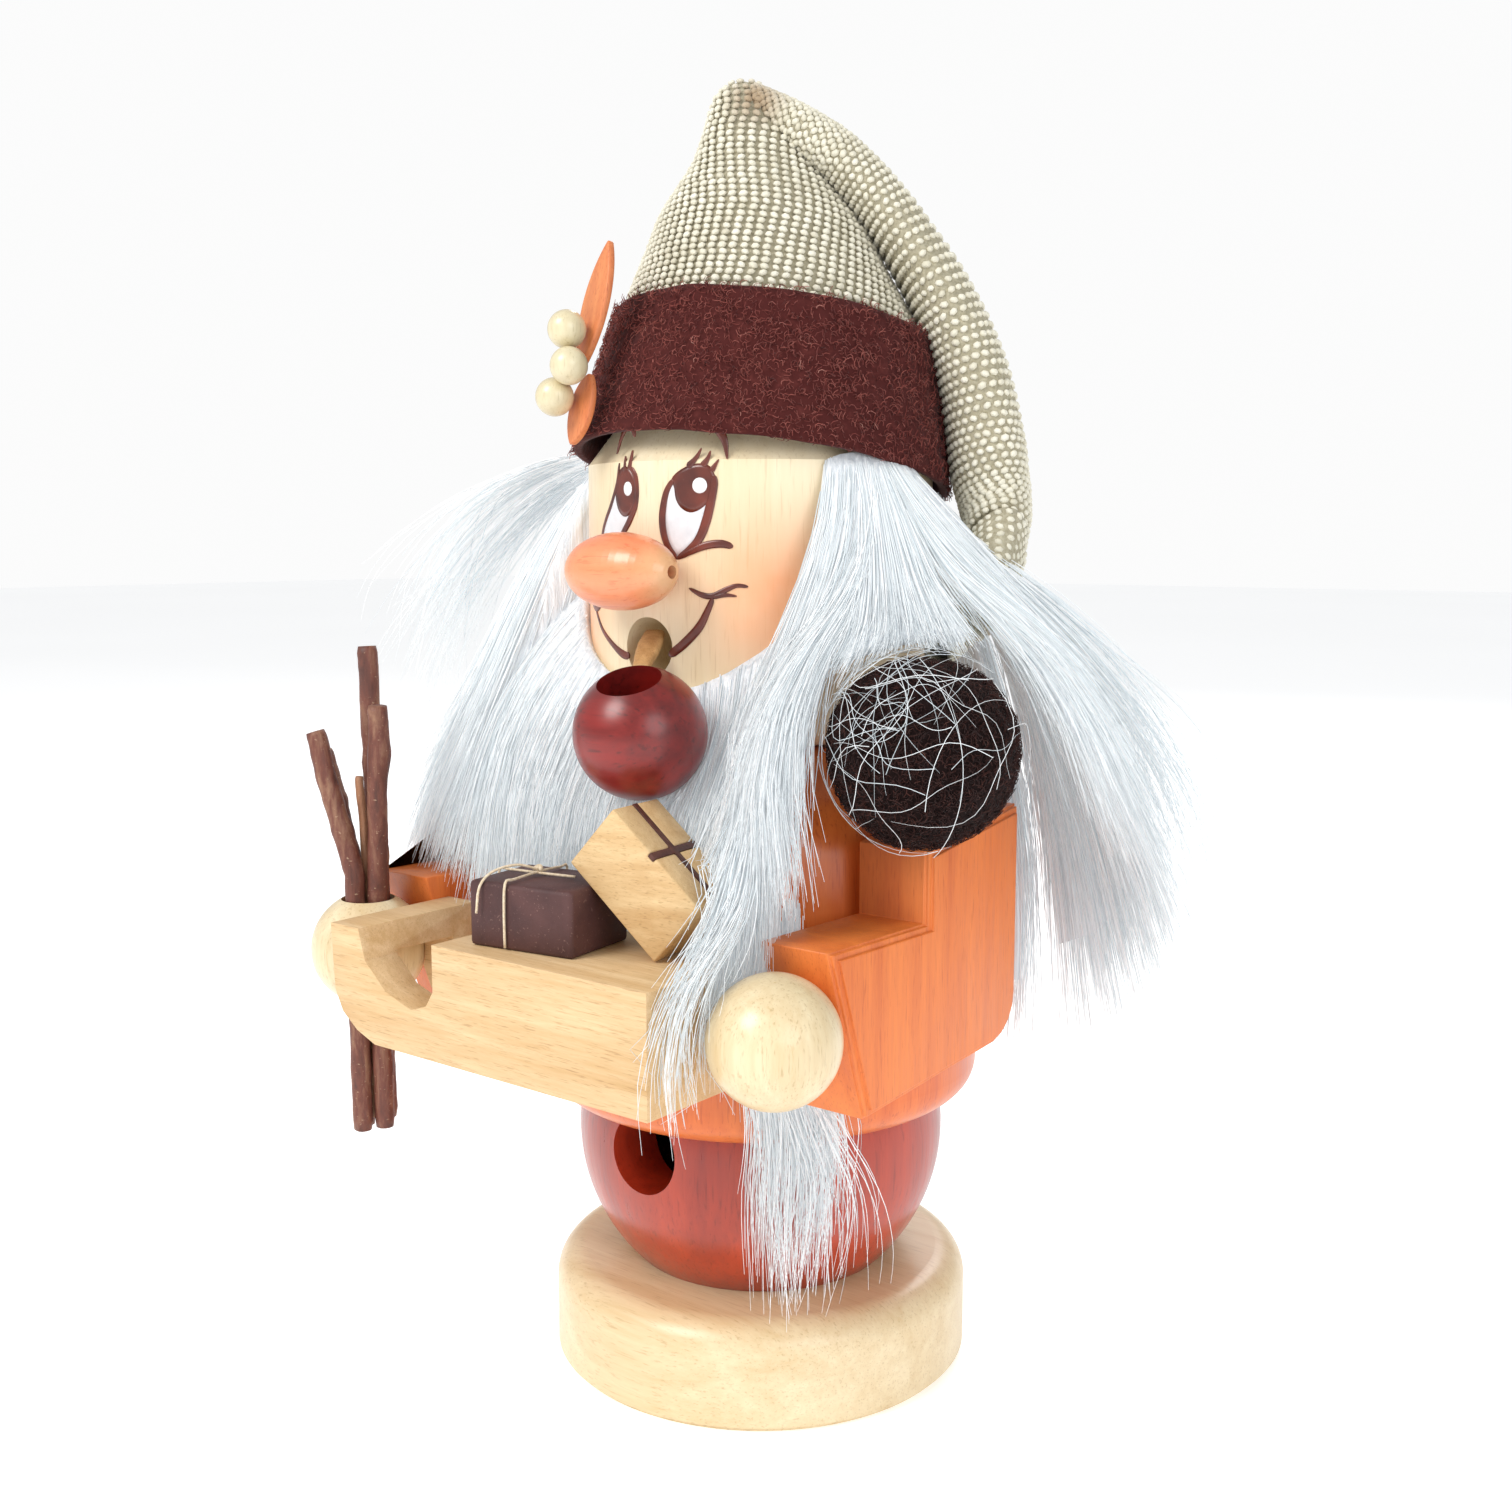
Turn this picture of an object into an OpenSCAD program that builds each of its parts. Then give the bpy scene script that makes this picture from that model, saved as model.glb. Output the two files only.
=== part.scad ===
// Gnome incense smoker: a turned lower body with a lift-off jacket, head and hat.
// Z is up, the figure faces -Y, and the origin is the middle of the base's underside.

/* [Base and lower body] */
// Radius of the round base
base_r = 25; // [23:0.5:27]
// Thickness of the base
base_h = 12; // [10:0.5:12]
// Radius of the ball that the lower body is turned from
bowl_r = 22; // [21:0.25:22]
// Height of that ball's centre
bowl_z = 27.6; // [27:0.1:28]
// Height of the shoulder that the jacket rests on
shoulder_z = 32.4; // [31:0.1:33]
// Diameter of the vent in the front of the lower body
vent_d = 9.2; // [7:0.1:9.4]
// Height of the vent's middle
vent_z = 29; // [28.5:0.1:29.5]
// Radius of the spigot that locates the jacket
spigot_r = 17.4; // [16.5:0.1:17.4]
// Height of the spigot above the shoulder
spigot_h = 6; // [4:0.5:7]

/* [Jacket] */
// Radius of the jacket
jacket_r = 26; // [25:0.25:26]
// Height of the jacket's top, where the head stands
jacket_top = 75; // [74:0.5:75]
// Distance from the middle to the flat that carries an arm
flat_x = 24.2; // [23.5:0.1:24.2]

/* [Arms and hands] */
// Thickness of an arm board
arm_t = 8.8; // [7:0.2:9]
// Radius of a hand bead
hand_r = 6.5; // [6:0.1:6.5]
// Radius of the hole that holds the twigs
twig_hole_r = 3; // [3:0.1:3.2]

/* [Head] */
// Radius of the head
head_r = 20; // [19.5:0.1:20]
// Height of the mouth hole
mouth_z = 86; // [85:0.5:87]
// Diameter of the mouth hole
mouth_d = 6.6; // [5:0.1:7]
// Radius of the pipe bowl bead
pipe_r = 7; // [6:0.1:7]
// Half length of the nose bead
nose_half = 7.3; // [6:0.1:7.5]

/* [Hat] */
// Backward lean of the hat band, in degrees
band_lean = 11; // [8:0.5:12]
// Height of the hat band
band_h = 16.2; // [14:0.2:17]
// Height of the hat's peak
peak_z = 149.5; // [146:0.5:152]
// Radius of the pompom
pompom_r = 9.9; // [8:0.1:9.9]

/* [Sledge] */
// Length of the sledge block
sledge_l = 45.8; // [44:0.2:46]
// Height of the sledge block
sledge_h = 12.4; // [12:0.2:12.4]
// Width of the sledge block, front to back
sledge_w = 16.8; // [15:0.2:16.8]
// Thickness of each runner board beside the slot
runner_t = 4.4; // [3.5:0.1:4.8]

/* [Hidden] */

slide_gap = 0.08;      // radial play of the jacket on its spigot
skin_gap = 0.35;       // air between a soft piece and its neighbour
bore_r = spigot_r + slide_gap;
cavity_z = 66;         // ceiling of the smoke chamber
ember_z = 22;          // floor of the hollow in the lower body
ember_r = 14.5;
duct_r = 4;
neck_r = 8;
neck_h = 4;
chin_r = 5;
brow_z = 106;          // where the head starts to narrow, under the hat
crown_z = 116.5;       // top of the head
crown_r = 12;
band_z = 105.2;        // height of the band's lower edge at the middle
band_r = 22.3;
band_top_r = 19.3;
arm_z = 51.2;          // height of the hands' centres
hand_x = 29.3;
hand_y = -35.6;
pompom_at = [33.5, -16.8, 76.9];
pipe_at = [6, -28, 77.8];
pipe_lean = [22, 6, 0];
sledge_x = -24.3;      // left end of the sledge
sledge_y = -44.7;      // front face of the sledge
sledge_z = 44.1;       // underside of the sledge
seat_z = sledge_z + sledge_h;
parcel_turn = 8;       // how far the parcels are turned on the seat
parcel_at = [7.9, -40.4, seat_z];
dark_size = [12.9, 9.8, 6.8];
light_size = [13.5, 8, 7.9];
light_tilt = 42;
light_shift = [7.5, 3.2, 0];

// A chain of balls joined one to the next; each entry is [x, y, z, radius].
module chain(stops, sides = 20) {
  for (i = [0 : len(stops) - 2])
    hull() {
      translate([stops[i].x, stops[i].y, stops[i].z]) sphere(r = stops[i][3], $fn = sides);
      translate([stops[i + 1].x, stops[i + 1].y, stops[i + 1].z])
        sphere(r = stops[i + 1][3], $fn = sides);
    }
}

// One convex lump round several balls.
module lump(stops, sides = 20) {
  hull()
    for (s = stops) translate([s.x, s.y, s.z]) sphere(r = s[3], $fn = sides);
}

// The turned outside of the head: a round chin, a straight face and a tapered crown.
module head_form() {
  floor_z = jacket_top + 0.02;
  rotate_extrude($fn = 128) union() {
    translate([0, floor_z]) square([head_r - chin_r, chin_r + 1]);
    translate([head_r - chin_r, floor_z + chin_r]) circle(r = chin_r, $fn = 64);
    translate([0, floor_z + chin_r]) square([head_r, brow_z - floor_z - chin_r]);
    polygon([[0, brow_z - 1], [head_r, brow_z - 1], [head_r, brow_z], [crown_r, crown_z],
             [0, crown_z]]);
  }
}

// Everything the hair must stay clear of on the upper body.
module hair_clearance() {
  cylinder(r = jacket_r + skin_gap, h = jacket_top + skin_gap, $fn = 96);
  translate([0, 0, jacket_top - 1]) cylinder(r = head_r + skin_gap, h = 40, $fn = 96);
}

module base_disc() {
  round_r = 3.5;
  color([0.89, 0.83, 0.68]) difference() {
    rotate_extrude($fn = 128) union() {
      square([base_r - round_r, base_h]);
      translate([0, 0.6]) square([base_r, base_h - round_r - 0.6]);
      square([base_r - 0.6, 1]);
      translate([base_r - round_r, base_h - round_r]) circle(r = round_r, $fn = 64);
    }
    translate([0, 0, base_h - 7]) cylinder(r = 3, h = 8, $fn = 48);
  }
}

module base_dowel() {
  color([0.82, 0.7, 0.5]) translate([0, 0, base_h - 6.5]) cylinder(r = 2.98, h = 13, $fn = 48);
}

module lower_body() {
  color([0.62, 0.22, 0.15]) difference() {
    union() {
      intersection() {
        translate([0, 0, bowl_z]) sphere(r = bowl_r, $fn = 128);
        translate([0, 0, base_h]) cylinder(r = bowl_r + 1, h = shoulder_z - base_h, $fn = 96);
      }
      translate([0, 0, shoulder_z - 1]) cylinder(r = spigot_r, h = spigot_h + 1, $fn = 96);
    }
    translate([0, 0, ember_z]) cylinder(r = ember_r + 0.5, h = 40, $fn = 96);
    translate([0, 0, base_h - 1]) cylinder(r = 3, h = 8, $fn = 48);
    translate([0, -10, vent_z]) rotate([90, 0, 0]) cylinder(d = vent_d, h = 20, $fn = 64);
  }
}

module ember_plate() {
  color([0.7, 0.7, 0.68]) translate([0, 0, ember_z]) difference() {
    cylinder(r = ember_r, h = 1.6, $fn = 96);
    translate([0, 0, 0.5]) cylinder(r = ember_r - 0.6, h = 2, $fn = 96);
  }
}

module jacket() {
  hem_r = 4;
  shoulder_r = 12;
  color([0.82, 0.4, 0.16]) difference() {
    rotate_extrude($fn = 128) union() {
      translate([0, shoulder_z + 0.02]) square([jacket_r - hem_r, jacket_top - shoulder_z - 0.02]);
      translate([0, shoulder_z + hem_r])
        square([jacket_r, jacket_top - shoulder_r - shoulder_z - hem_r]);
      translate([jacket_r - hem_r, shoulder_z + hem_r + 0.02]) circle(r = hem_r, $fn = 64);
      translate([jacket_r - shoulder_r, jacket_top - shoulder_r])
        intersection() {
          circle(r = shoulder_r, $fn = 96);
          square([shoulder_r, shoulder_r]);
        }
    }
    translate([0, 0, jacket_top]) rotate_extrude($fn = 128) difference() {
      translate([jacket_r - shoulder_r, -shoulder_r]) square([shoulder_r + 2, shoulder_r + 1]);
      translate([jacket_r - shoulder_r, -shoulder_r]) circle(r = shoulder_r, $fn = 96);
    }
    translate([0, 0, shoulder_z - 1]) cylinder(r = bore_r, h = cavity_z - shoulder_z + 1, $fn = 96);
    translate([0, 0, cavity_z - 1]) cylinder(r = duct_r, h = 20, $fn = 48);
    translate([0, 0, jacket_top - neck_h]) cylinder(r = neck_r + 0.03, h = neck_h + 1, $fn = 64);
    for (side = [-1, 1]) {
      translate([side * (flat_x + 10), 0, shoulder_z + 7.1 + 25]) cube([20, 60, 50], center = true);
      translate([side * (flat_x - 5), -4, arm_z + 3]) rotate([0, side * 90, 0])
        cylinder(r = 2, h = 8, $fn = 32);
    }
  }
}

module head() {
  color([0.93, 0.87, 0.72]) difference() {
    union() {
      head_form();
      translate([0, 0, jacket_top - neck_h + 0.3]) cylinder(r = neck_r, h = neck_h, $fn = 64);
    }
    translate([0, 0, jacket_top - neck_h - 1]) cylinder(r = duct_r, h = 21, $fn = 48);
    translate([0, 0, mouth_z]) rotate([90, 0, 0]) cylinder(d = mouth_d, h = 30, $fn = 64);
  }
}

module nose() {
  nose_r = 4.15;
  drill_r = 0.7;
  start = acos(drill_r / nose_r);
  color([0.93, 0.5, 0.33]) translate([0, -head_r - 4.2, 94.3]) rotate([0, 90, 0])
    rotate_extrude($fn = 96)
      polygon([for (i = [-12 : 12]) [nose_r * cos(start * i / 12), nose_half * sin(start * i / 12)]]);
}

module pipe_bowl() {
  color([0.47, 0.12, 0.13]) translate(pipe_at) rotate(pipe_lean) difference() {
    sphere(r = pipe_r, $fn = 96);
    translate([0, 0, -0.5]) cylinder(r = 3.4, h = 12, $fn = 64);
  }
}

module pipe_stem() {
  from = [-0.2, -18.4, 87.2];
  to = [2.6, -24.2, 84.3];
  color([0.8, 0.62, 0.38]) hull() {
    translate(from) sphere(r = 1.2, $fn = 20);
    translate(to) sphere(r = 1.3, $fn = 20);
  }
}

module band_frame() {
  translate([0, 0, band_z]) rotate([-band_lean, 0, 0]) children();
}

module hat_band() {
  color([0.33, 0.17, 0.16]) difference() {
    band_frame() cylinder(r1 = band_r, r2 = band_top_r, h = band_h, $fn = 96);
    translate([0, 0, 80]) cylinder(r = head_r + skin_gap, h = brow_z - 80, $fn = 96);
    translate([0, 0, brow_z])
      cylinder(r1 = head_r + skin_gap, r2 = crown_r + skin_gap, h = crown_z - brow_z, $fn = 96);
    translate([0, 0, crown_z]) cylinder(r = crown_r + skin_gap, h = 20, $fn = 96);
  }
}

module hat() {
  color([0.76, 0.73, 0.63]) union() {
    hull() {
      band_frame() translate([0, 0, band_h + 0.05])
        cylinder(r = band_top_r - 0.8, h = 1, $fn = 32);
      translate([-2, 0, peak_z - 2.6]) sphere(r = 2.6, $fn = 24);
      translate([2.5, 3, peak_z - 6]) sphere(r = 3, $fn = 24);
    }
    difference() {
      chain([[2.5, 3, peak_z - 6, 3], [8, 9, 133, 5.5], [12.5, 13.5, 123, 7.2],
             [17.5, 18, 110, 7.5], [20.5, 18.5, 99, 6.5], [28, 4, 91.5, 3.6],
             [31.5, -11, 88.6, 2]], 20);
      band_frame() translate([0, 0, -20]) cylinder(r = band_r + skin_gap, h = 20.01, $fn = 96);
      band_frame() cylinder(r1 = band_r + skin_gap, r2 = band_top_r + skin_gap, h = band_h, $fn = 96);
    }
  }
}

module pompom() {
  color([0.22, 0.14, 0.13]) translate(pompom_at) sphere(r = pompom_r, $fn = 64);
}

module leaf_upper() {
  color([0.85, 0.48, 0.3]) translate([-7.2, -19.5, 122.6]) rotate([-12, 8, -20]) leaf_blade(14.5, 5.2);
}

module leaf_lower() {
  color([0.85, 0.48, 0.3]) translate([-7.8, -21.2, 111.6]) rotate([-10, 16, -20]) leaf_blade(8, 4.6);
}

// A pointed leaf standing in the XZ plane, its middle at the origin.
module leaf_blade(length, width) {
  arc_r = (length * length / 4 + width * width / 4) / width;
  rotate([90, 0, 0]) linear_extrude(0.8) intersection() {
    translate([arc_r - width / 2, 0]) circle(r = arc_r, $fn = 96);
    translate([width / 2 - arc_r, 0]) circle(r = arc_r, $fn = 96);
  }
}

module berries() {
  color([0.86, 0.78, 0.58])
    for (p = [[-8.5, -23.1, 120.1, 2.1], [-7.2, -24.2, 116.1, 2.05], [-10.0, -23.6, 113, 2.1]])
      translate([p.x, p.y, p.z]) sphere(r = p[3], $fn = 48);
}

module hair_right() {
  color([0.88, 0.9, 0.92]) difference() {
    chain([[-22.5, 1, 98, 3.5], [-29, -5, 86, 4.5], [-35, -10, 74, 4.5], [-39, -12, 64, 3]]);
    hair_clearance();
    translate([-flat_x - arm_t - skin_gap, -40, 30]) cube([arm_t + 8, 60, 39.6]);
    band_frame() translate([0, 0, -2]) cylinder(r = band_r + skin_gap, h = band_h, $fn = 64);
  }
}

module hair_left() {
  color([0.88, 0.9, 0.92]) difference() {
    union() {
      chain([[23.5, 3, 86, 2.6], [31, 9, 76, 4.5], [37.5, 14, 64, 4.5], [42, 18, 52, 3]]);
      chain([[20, -12, 92, 2], [23, -13, 80, 2.4], [22.3, -19.5, 70, 2.2]]);
    }
    hair_clearance();
    translate([flat_x - 8, -40, 30]) cube([arm_t + 8 + skin_gap, 60, 39.6]);
    translate(pompom_at) sphere(r = pompom_r + 0.9, $fn = 64);
  }
}

module hair_back() {
  color([0.88, 0.9, 0.92]) difference() {
    lump([[-17, 20, 84, 3.5], [12, 22, 84, 3.5], [-18, 24, 62, 4.5], [16, 26, 62, 4.5],
          [-11, 27, 40, 2.5], [22, 25, 40, 2.5]]);
    hair_clearance();
    translate([0, 0, 30]) cylinder(r = jacket_r + skin_gap, h = 50, $fn = 96);
  }
}

module beard() {
  color([0.9, 0.91, 0.93]) difference() {
    lump([[-12, -22.5, 79, 2], [15, -21, 82, 2], [-14, -26.5, 70, 1.5], [18, -24, 70, 2],
          [-12, -27.6, 60, 0.8], [19, -25, 60, 1.5]]);
    hair_clearance();
    translate(pipe_at) sphere(r = pipe_r + skin_gap, $fn = 64);
    translate([sledge_x - 2, sledge_y - 2, 30])
      cube([sledge_l + 4, sledge_w + 2 + skin_gap, seat_z - 30 + skin_gap]);
    at_parcels() translate([-14, -2, -1]) cube([30, 16, 16.5]);
    hull() {
      translate([-0.2, -18.4, 87.2]) sphere(r = 1.6, $fn = 20);
      translate([2.6, -24.2, 84.3]) sphere(r = 1.7, $fn = 20);
    }
  }
}

module beard_lock() {
  color([0.9, 0.91, 0.93]) difference() {
    chain([[22, -21.5, 60, 1.6], [21, -22.5, 46, 1.8], [19, -21.5, 34, 2], [17.5, -17.5, 18, 1.4]]);
    hair_clearance();
    translate([hand_x, hand_y, arm_z]) sphere(r = hand_r + skin_gap, $fn = 48);
    translate([flat_x - skin_gap, -40, 30]) cube([20, 60, 39]);
  }
}

// One arm board for the figure's left side.
module arm_board() {
  outline = [[-25.2, 41.3], [-31.3, 59.2], [-14.4, 58.9], [-14.4, 66.5], [4, 69], [4, 48],
             [3.7, 46.3], [2.8, 44.7], [1.4, 43.5], [-0.4, 42.9]];
  edge_r = 0.8;
  difference() {
    translate([flat_x + 0.01, 0, 0]) rotate([90, 0, 90]) bevelled_board(outline, edge_r);
    translate([flat_x - 1, -4, arm_z + 3]) rotate([0, 90, 0]) cylinder(r = 2, h = 6, $fn = 32);
    translate([hand_x, hand_y, arm_z]) rotate([-90, 0, 0]) cylinder(r = 1.5, h = 13, $fn = 32);
  }
}

// A board with its outer edge bevelled in two steps.
module bevelled_board(outline, edge_r) {
  linear_extrude(arm_t - edge_r) polygon(outline);
  translate([0, 0, arm_t - edge_r]) linear_extrude(edge_r * 0.5) offset(delta = -edge_r * 0.3)
    polygon(outline);
  translate([0, 0, arm_t - edge_r * 0.5]) linear_extrude(edge_r * 0.5) offset(delta = -edge_r)
    polygon(outline);
}

module arm_left() {
  color([0.85, 0.42, 0.17]) arm_board();
}

module arm_right() {
  color([0.85, 0.42, 0.17]) mirror([1, 0, 0]) arm_board();
}

module arm_dowels() {
  color([0.82, 0.7, 0.5])
    for (side = [-1, 1])
      translate([side * (flat_x - 4.5), -4, arm_z + 3]) rotate([0, side * 90, 0])
        cylinder(r = 1.98, h = 9, $fn = 32);
}

module hand_left() {
  color([0.89, 0.82, 0.64]) difference() {
    translate([hand_x, hand_y, arm_z]) sphere(r = hand_r, $fn = 96);
    translate([hand_x, hand_y + 2, arm_z]) rotate([-90, 0, 0]) cylinder(r = 1.5, h = 8, $fn = 32);
  }
}

module hand_right() {
  flat_top = 6;
  color([0.89, 0.82, 0.64]) difference() {
    translate([-hand_x, hand_y, arm_z]) intersection() {
      sphere(r = hand_r, $fn = 96);
      translate([0, 0, flat_top - 20]) cylinder(r = 20, h = 20, $fn = 48);
    }
    translate([-hand_x, hand_y, arm_z - 10]) cylinder(r = twig_hole_r, h = 20, $fn = 48);
    translate([-hand_x, hand_y + 2, arm_z]) rotate([-90, 0, 0]) cylinder(r = 1.5, h = 8, $fn = 32);
  }
}

module hand_pegs() {
  color([0.82, 0.7, 0.5])
    for (side = [-1, 1])
      translate([side * hand_x, hand_y + 3.3, arm_z]) rotate([-90, 0, 0])
        cylinder(r = 1.48, h = 8, $fn = 32);
}

// A round rod from one point to another.
module rod(from, to, r) {
  run = to - from;
  translate(from) rotate([0, acos(run.z / norm(run)), atan2(run.y, run.x)])
    cylinder(r = r, h = norm(run), $fn = 72);
}

// A twig through the hand: its place in the hole, its foot's height, its bend's height above the
// hand, its top and its radius.
module twig(offset_xy, foot_z, bend, top, r) {
  foot = [-hand_x + offset_xy.x, hand_y + offset_xy.y, foot_z];
  knee = [foot.x, foot.y, arm_z + hand_r + bend];
  rod(foot, knee, r);
  translate(knee) sphere(r = r * 1.08, $fn = 72);
  rod(knee, top, r);
}

module twig_outer() {
  color([0.4, 0.22, 0.17]) twig([-1.75, 0], 29.6, 1, [-36, -36, 73.5], 1.18);
}

module twig_front() {
  color([0.45, 0.25, 0.19]) twig([0, -1.75], 30, 2.2, [-33.2, -39.3, 76.2], 1.18);
}

module twig_tall() {
  color([0.42, 0.22, 0.17]) twig([0, 1.75], 30.6, 2.2, [-31.2, -33.2, 85.6], 1.18);
}

module twig_inner() {
  color([0.36, 0.2, 0.16]) twig([1.75, 0], 30.2, 1, [-26.6, -35.4, 79.2], 1.18);
}

module twig_thin() {
  color([0.5, 0.3, 0.2]) twig([0, 0], 31, 1.6, [-29.6, -36, 71], 0.5);
}

module sledge() {
  top = sledge_h;
  outline = [[6.8, 0], [sledge_l, 0], [sledge_l, top], [16.3, top], [16.3, 7.4], [15.2, 5.7],
             [12.8, 4.9], [8.8, 6.2], [5.6, 9], [4.6, top], [0, top], [0.4, 5.1], [1.6, 2.8],
             [3.9, 1.1]];
  color([0.86, 0.75, 0.57]) difference() {
    translate([sledge_x, sledge_y + sledge_w, sledge_z]) rotate([90, 0, 0])
      linear_extrude(sledge_w) polygon(outline);
    translate([sledge_x - 1, sledge_y + runner_t, sledge_z - 1])
      cube([17.3, sledge_w - 2 * runner_t, sledge_h - 2.1]);
    translate([-hand_x, hand_y, arm_z]) sphere(r = hand_r + 0.1, $fn = 64);
  }
}

module at_parcels() {
  translate(parcel_at) rotate([0, 0, parcel_turn]) children();
}

module parcel_dark() {
  color([0.31, 0.19, 0.18]) at_parcels() translate([-dark_size.x, 0, 0.01]) cube(dark_size);
}

module parcel_thread() {
  t = 0.4;
  color([0.85, 0.8, 0.7]) at_parcels() {
    translate([-dark_size.x, dark_size.y * 0.5, dark_size.z + 0.01]) cube([dark_size.x - 5, t, t]);
    translate([-dark_size.x * 0.62, 0, dark_size.z + 0.01]) cube([t, dark_size.y, t]);
  }
}

module at_light() {
  at_parcels() translate(light_shift) rotate([0, light_tilt, 0]) translate([-light_size.x, 0, 0.05])
    children();
}

module parcel_light() {
  groove = 0.5;
  color([0.85, 0.7, 0.48]) at_light() difference() {
    cube(light_size);
    translate([light_size.x * 0.44, -1, light_size.z - groove]) cube([0.8, 20, 1]);
    translate([-1, light_size.y * 0.44, light_size.z - groove]) cube([20, 0.8, 1]);
  }
}

module parcel_ribbon() {
  groove = 0.5;
  color([0.3, 0.16, 0.14]) at_light() {
    translate([light_size.x * 0.44 + 0.01, 0, light_size.z - groove + 0.01])
      cube([0.78, light_size.y, groove]);
    translate([0, light_size.y * 0.44 + 0.01, light_size.z - groove + 0.01])
      cube([light_size.x, 0.78, groove]);
  }
}

base_disc();
base_dowel();
lower_body();
ember_plate();
jacket();
head();
nose();
pipe_bowl();
pipe_stem();
hat_band();
hat();
pompom();
leaf_upper();
leaf_lower();
berries();
hair_right();
hair_left();
hair_back();
beard();
beard_lock();
arm_left();
arm_right();
arm_dowels();
hand_left();
hand_right();
hand_pegs();
twig_outer();
twig_front();
twig_tall();
twig_inner();
twig_thin();
sledge();
parcel_dark();
parcel_thread();
parcel_light();
parcel_ribbon();
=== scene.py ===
import math

import bmesh
import bpy
import numpy as np
from mathutils import Matrix, Vector, noise


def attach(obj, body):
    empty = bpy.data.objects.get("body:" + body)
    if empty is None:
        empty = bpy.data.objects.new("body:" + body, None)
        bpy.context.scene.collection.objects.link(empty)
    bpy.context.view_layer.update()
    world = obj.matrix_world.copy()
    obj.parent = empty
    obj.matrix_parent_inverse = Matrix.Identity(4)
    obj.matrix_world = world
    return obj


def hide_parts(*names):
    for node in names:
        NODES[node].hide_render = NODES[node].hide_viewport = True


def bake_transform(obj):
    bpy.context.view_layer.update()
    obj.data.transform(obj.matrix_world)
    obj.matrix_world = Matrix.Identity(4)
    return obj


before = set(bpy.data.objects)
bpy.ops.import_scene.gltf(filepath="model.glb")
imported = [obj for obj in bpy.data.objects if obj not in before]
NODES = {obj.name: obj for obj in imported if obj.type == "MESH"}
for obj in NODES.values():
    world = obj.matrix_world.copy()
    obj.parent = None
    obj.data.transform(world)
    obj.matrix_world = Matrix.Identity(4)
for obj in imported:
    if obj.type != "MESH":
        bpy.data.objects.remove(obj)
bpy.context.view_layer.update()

MM = 0.001

# ---------------------------------------------------------------- driving sizes, in mm
HEAD_R = 20.0
BAND_Z = 105.2
BAND_LEAN = math.radians(-11)
BAND_R = 22.3
BAND_TOP_R = 19.3
BAND_H = 16.2
PEAK = (-2.2, -0.3, 149.3)
POMPOM = np.array([33.5, -16.8, 76.9])
POMPOM_R = 9.9
PIPE = np.array([6.0, -28.0, 77.8])
HAND_Z = 51.2
HAND_X = 29.3
HAND_Y = -35.6
SEAT_Z = 56.5
PARCELS = (7.9, -40.4, SEAT_Z)
PARCEL_TURN = math.radians(8)
SAME_POINT = 2e-6  # metres: mesh points closer than this are one


# ---------------------------------------------------------------- finishes
def srgb(r, g, b):
    """A colour picked on screen as the linear values a shader wants."""
    return tuple(((c / 255 + 0.055) / 1.055) ** 2.4 if c > 10 else c / 3294 for c in (r, g, b))


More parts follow.
